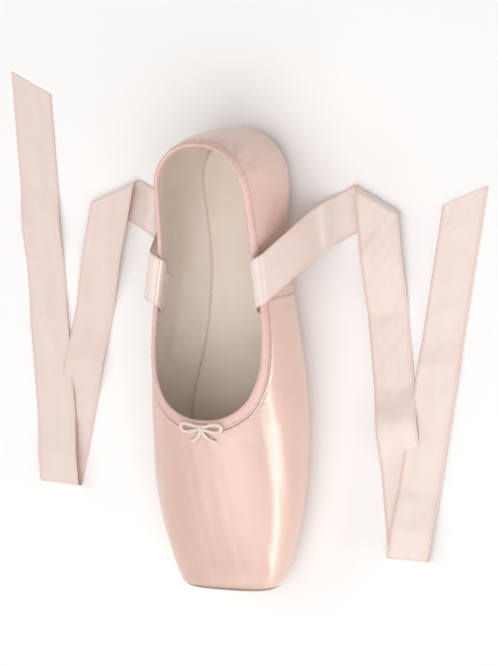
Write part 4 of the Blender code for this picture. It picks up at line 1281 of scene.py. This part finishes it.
def casing_grid(frame_points, sides):
    """Oval rings round the collar, with a stitched groove, puckers and the slit at the throat."""
    middle, normal, inward = (np.concatenate((part, part[:1])) for part in frame_points)
    around = lengths(middle[:, None], 0)
    turn = np.linspace(0, 2 * math.pi, sides + 1)[None, :]
    tall = squarish(np.cos(turn)) * BINDING_TALL / 2
    thick = squarish(np.sin(turn)) * BINDING_THICK / 2
    groove = GROOVE_DEEP * bell(tall + GROOVE_BELOW, 0.42)
    whole = around[-1, 0]
    share = around / whole * 2 * math.pi
    waves = 0.5 * np.sin(97 * share) + 0.5 * np.sin(61 * share + 1.3) * np.cos(13 * share)
    pucker = PUCKER_TALL * waves * bell(tall - 0.2, 2.4)
    throat_gap = np.abs(around - whole / 2)
    outside = np.sin(turn) > 0
    # The second mark is where the tape's finish paints the slit almost black, as a painted shadow.
    slit, dark = (np.where(outside, np.exp(-(throat_gap / long) ** 4) * bell(tall - SLIT_ABOVE, high), 0)
                  for long, high in ((2.4, 0.55), (2.2, 0.45)))
    thick = thick - np.sign(np.sin(turn)) * (groove + SLIT_DEEP * slit) + pucker * np.sin(turn)
    centre = middle + inward * (GAP + BINDING_TALL / 2)
    grid = centre[:, None] + inward[:, None] * tall[..., None] + normal[:, None] * thick[..., None]
    profile = lengths(grid, 1)
    cloth = np.stack((profile, np.broadcast_to(around, profile.shape)), axis=2)
    # Marks the stitched groove and the puckers' troughs, which the tape's finish paints darker as
    # painted shade.
    crease_shade = np.clip(groove * 1.6 + np.clip(-pucker, 0, 1) * 2.0, 0, 1)
    return grid, cloth, {"crease_shade": crease_shade, "slit": dark}


tape_grid, cloth, marks = casing_grid(fine_frame, CASING_SIDES)
casing = sewn("casing_tape", [(tape_grid, cloth, 0, marks)], [tape_satin], marks=("crease_shade", "slit"))
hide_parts("binding")

# %% [markdown]
# ## Outsole and insole
# The outsole is one piece of leather, glued on last and skived thin at its edge. The insole is the
# board that the foot stands on. Both are an outline in plan, drawn in ring by ring, so that one
# formula gives the rounded edge, the flat and the closed middle.

# %% Rings of a board
def plan_ring(reach, front, counts):
    """Points (x, at) of a plan outline: one side from its front to its back, then the other.

    The counts are of points round the front, along the side and round the heel.
    """
    ends, middle_count, swings = counts
    turn = np.radians(90.0 * np.arange(swings + 1) / swings)
    at = np.concatenate((
        spaced(front, front + FRONT_ROUND, ends, "start"),
        spaced(front + FRONT_ROUND, HEEL_AXIS, middle_count, "even"),
        HEEL_AXIS + HEEL_SWING * np.sin(turn),
    ))
    swing = np.concatenate((np.zeros(ends + middle_count), turn))
    distance = reach(at, swing)
    x = distance * np.cos(swing)
    y = np.where(swing > 0, HEEL_AXIS + distance * np.sin(swing), at)
    x[[0, -1]] = 0.0
    right = np.stack((x, y), axis=1)
    return np.concatenate((right, (right * (-1, 1))[::-1][1:-1]))


EDGE_TURN = np.linspace(0, math.pi / 2, 7)
EDGE_BAND = 0.8  # how far in the dark or rubbed edge reaches
SPINE_FRONT, SPINE_BACK = 26.0, 20.0


def board(name, ring, fills, low, high, low_round, high_round, material):
    """A board between two heights over the base line, with its lower and upper edge rounded.

    Its rings go from the lower middle over the edge to the upper middle. Those of the flats shrink
    towards the spine, a line on x = 0 that starts and ends inside the outline.
    """
    ring = np.concatenate((ring, ring[:1]))
    along = np.gradient(ring, axis=0)
    along[0] = along[-1] = ring[1] - ring[-2]
    outward = unit(np.stack((along[:, 1], -along[:, 0]), axis=1))
    middle = np.clip(ring[:, 1], ring[:, 1].min() + SPINE_FRONT, ring[:, 1].max() - SPINE_BACK)
    spine = np.stack((np.zeros(len(ring)), middle), axis=1)
    down, up = 1 - np.cos(EDGE_TURN), 1 - np.sin(EDGE_TURN)
    shares = np.linspace(0, 1, fills + 1)[:-1]
    rows = np.concatenate((
        [(low_round, low, share) for share in shares],
        np.stack((low_round * up, low + low_round * down, 0 * up + 1), axis=1),
        np.stack((high_round * down, high - high_round * up, 0 * up + 1), axis=1),
        [(high_round, high, share) for share in shares[::-1]],
    ))
    inset, rise, share = (values[:, None] for values in rows.T)
    plan = spine + (ring - outward * inset[..., None] - spine) * share[..., None]
    grid = np.concatenate((plan, (base_height(plan[..., 1]) + rise)[..., None]), axis=2)
    rim = np.where((share == 1) & (inset < EDGE_BAND), 1.0, 0.0)
    return sewn(name, [(grid, plan, 0, {"edge": rim})], [material], marks=("edge",))


# %% Make the outsole
ring = plan_ring(lambda at, swing: sole_half(at, swing, 0.0), OUTSOLE_FRONT, (44, 110, 44))
sole = board("leather_outsole", ring, fills=26, low=-GAP - OUTSOLE_THICK, high=-GAP,
             low_round=0.9, high_round=0.4, material=sole_leather)
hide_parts("outsole")

# %% Make the insole
ring = plan_ring(lambda at, swing: board_half(at, swing, 0.0), INSOLE_FRONT, (30, 70, 32))
board_low = WALL_UNDER + GAP
insole = board("sock_insole", ring, fills=14, low=board_low, high=board_low + INSOLE_THICK,
               low_round=0.3, high_round=0.5, material=sock_cloth)
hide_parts("insole")

# %% [markdown]
# ## Stitches
# Fine thread holds the tape, the side seams and the ribbons. A stitch is a short round bead whose
# ends sink into the cloth. One bead is worked out once and carried to every place on a row, so
# hundreds of stitches are one light piece, where a modelled running thread would need far more.

# %% A row of stitches
def on_line(table, away, places):
    """A table of vectors along a route, read at other running lengths."""
    return np.stack([np.interp(places, away, values) for values in table.T], axis=1)


def stitch_rows(name, rows, pitch, long, thick):
    """Beads along routes of (points, normals): each lies along its route and arches off the cloth.

    Along a bead the radius is sqrt(1 - s^4) for s from -1 to 1, and its height falls by s^2.
    """
    s = np.linspace(-1, 1, 7)[:, None]
    turn = np.linspace(0, 2 * math.pi, 7)
    radius = np.sqrt(np.clip(1 - s ** 4, 0, 1)) * thick / 2
    along = s * long / 2 + 0 * turn
    beside = radius * np.cos(turn)
    above = radius * np.sin(turn) + thick * (0.28 - 0.45 * s ** 2)
    cloth = np.stack((0 * along + turn * thick / 2, along), axis=2)
    panels = []
    for route, normals in rows:
        away = lengths(route[:, None], 0)[:, 0]
        places = np.arange(pitch / 2, away[-1], pitch)
        ahead = unit(on_line(route, away, places + 0.5) - on_line(route, away, places - 0.5))
        off = unit(on_line(normals, away, places))
        axes = (ahead, np.cross(off, ahead), off)
        beads = on_line(route, away, places)[:, None, None]
        for part, axis in zip((along, beside, above), axes):
            beads = beads + part[..., None] * axis[:, None, None]
        panels += [(bead, cloth, 0, {}) for bead in beads]
    piece = sewn(name, panels, [thread_finish])
    return piece


# %% Sew the tape
THREAD_THICK = 0.42
FINE_THREAD = 0.36
GROOVE_TURN = 120.4
tape_normals = np.concatenate((fine_frame[1], fine_frame[1][:1]))
low = int(GROOVE_TURN / 360 * CASING_SIDES)
share = GROOVE_TURN / 360 * CASING_SIDES - low
outer_line, inner_line = (grid[:, low] * (1 - share) + grid[:, low + 1] * share
                          for grid in (tape_grid, tape_grid[:, ::-1]))
stitch_rows("tape_stitches", [(outer_line, tape_normals), (inner_line, -tape_normals)],
            pitch=2.5, long=1.9, thick=THREAD_THICK)

# %% Sew the side seams and the ribbons
SEAM_TOP, SEAM_BOTTOM = 0.965, -0.62
STITCH_LOW, STITCH_HIGH, STITCH_WIDE = 2.2, 13.0, 9.0
level = np.linspace(SEAM_TOP, SEAM_BOTTOM, 90)
rows = [[on_satin(line + 0 * level, level, surface) for surface in satin_sides[side]]
        for side in (1, -1) for line in SEAM_LINES]
stitch_rows("seam_stitches", rows, pitch=2.1, long=1.5, thick=FINE_THREAD)

# The stitches run along one edge of the ribbon's end, across it and back along the other edge.
box_run = np.concatenate((np.linspace(STITCH_LOW, STITCH_HIGH, 20), np.full(20, STITCH_HIGH),
                          np.linspace(STITCH_HIGH, STITCH_LOW, 20)))
box_wide = np.concatenate((np.full(20, -STITCH_WIDE), np.linspace(-STITCH_WIDE, STITCH_WIDE, 20),
                           np.full(20, STITCH_WIDE)))
rows = []
for side, moves in ((1.0, RIBBON_RIGHT), (-1.0, RIBBON_LEFT)):
    face, above = (on_ribbon(np.stack((box_run, box_wide, 0 * box_run - SATIN_THICK / 2 - up), axis=1),
                             side, moves) for up in (0.0, 1.0))
    rows.append((face, unit(above - face)))
stitch_rows("ribbon_stitches", rows, pitch=2.4, long=1.7, thick=FINE_THREAD)
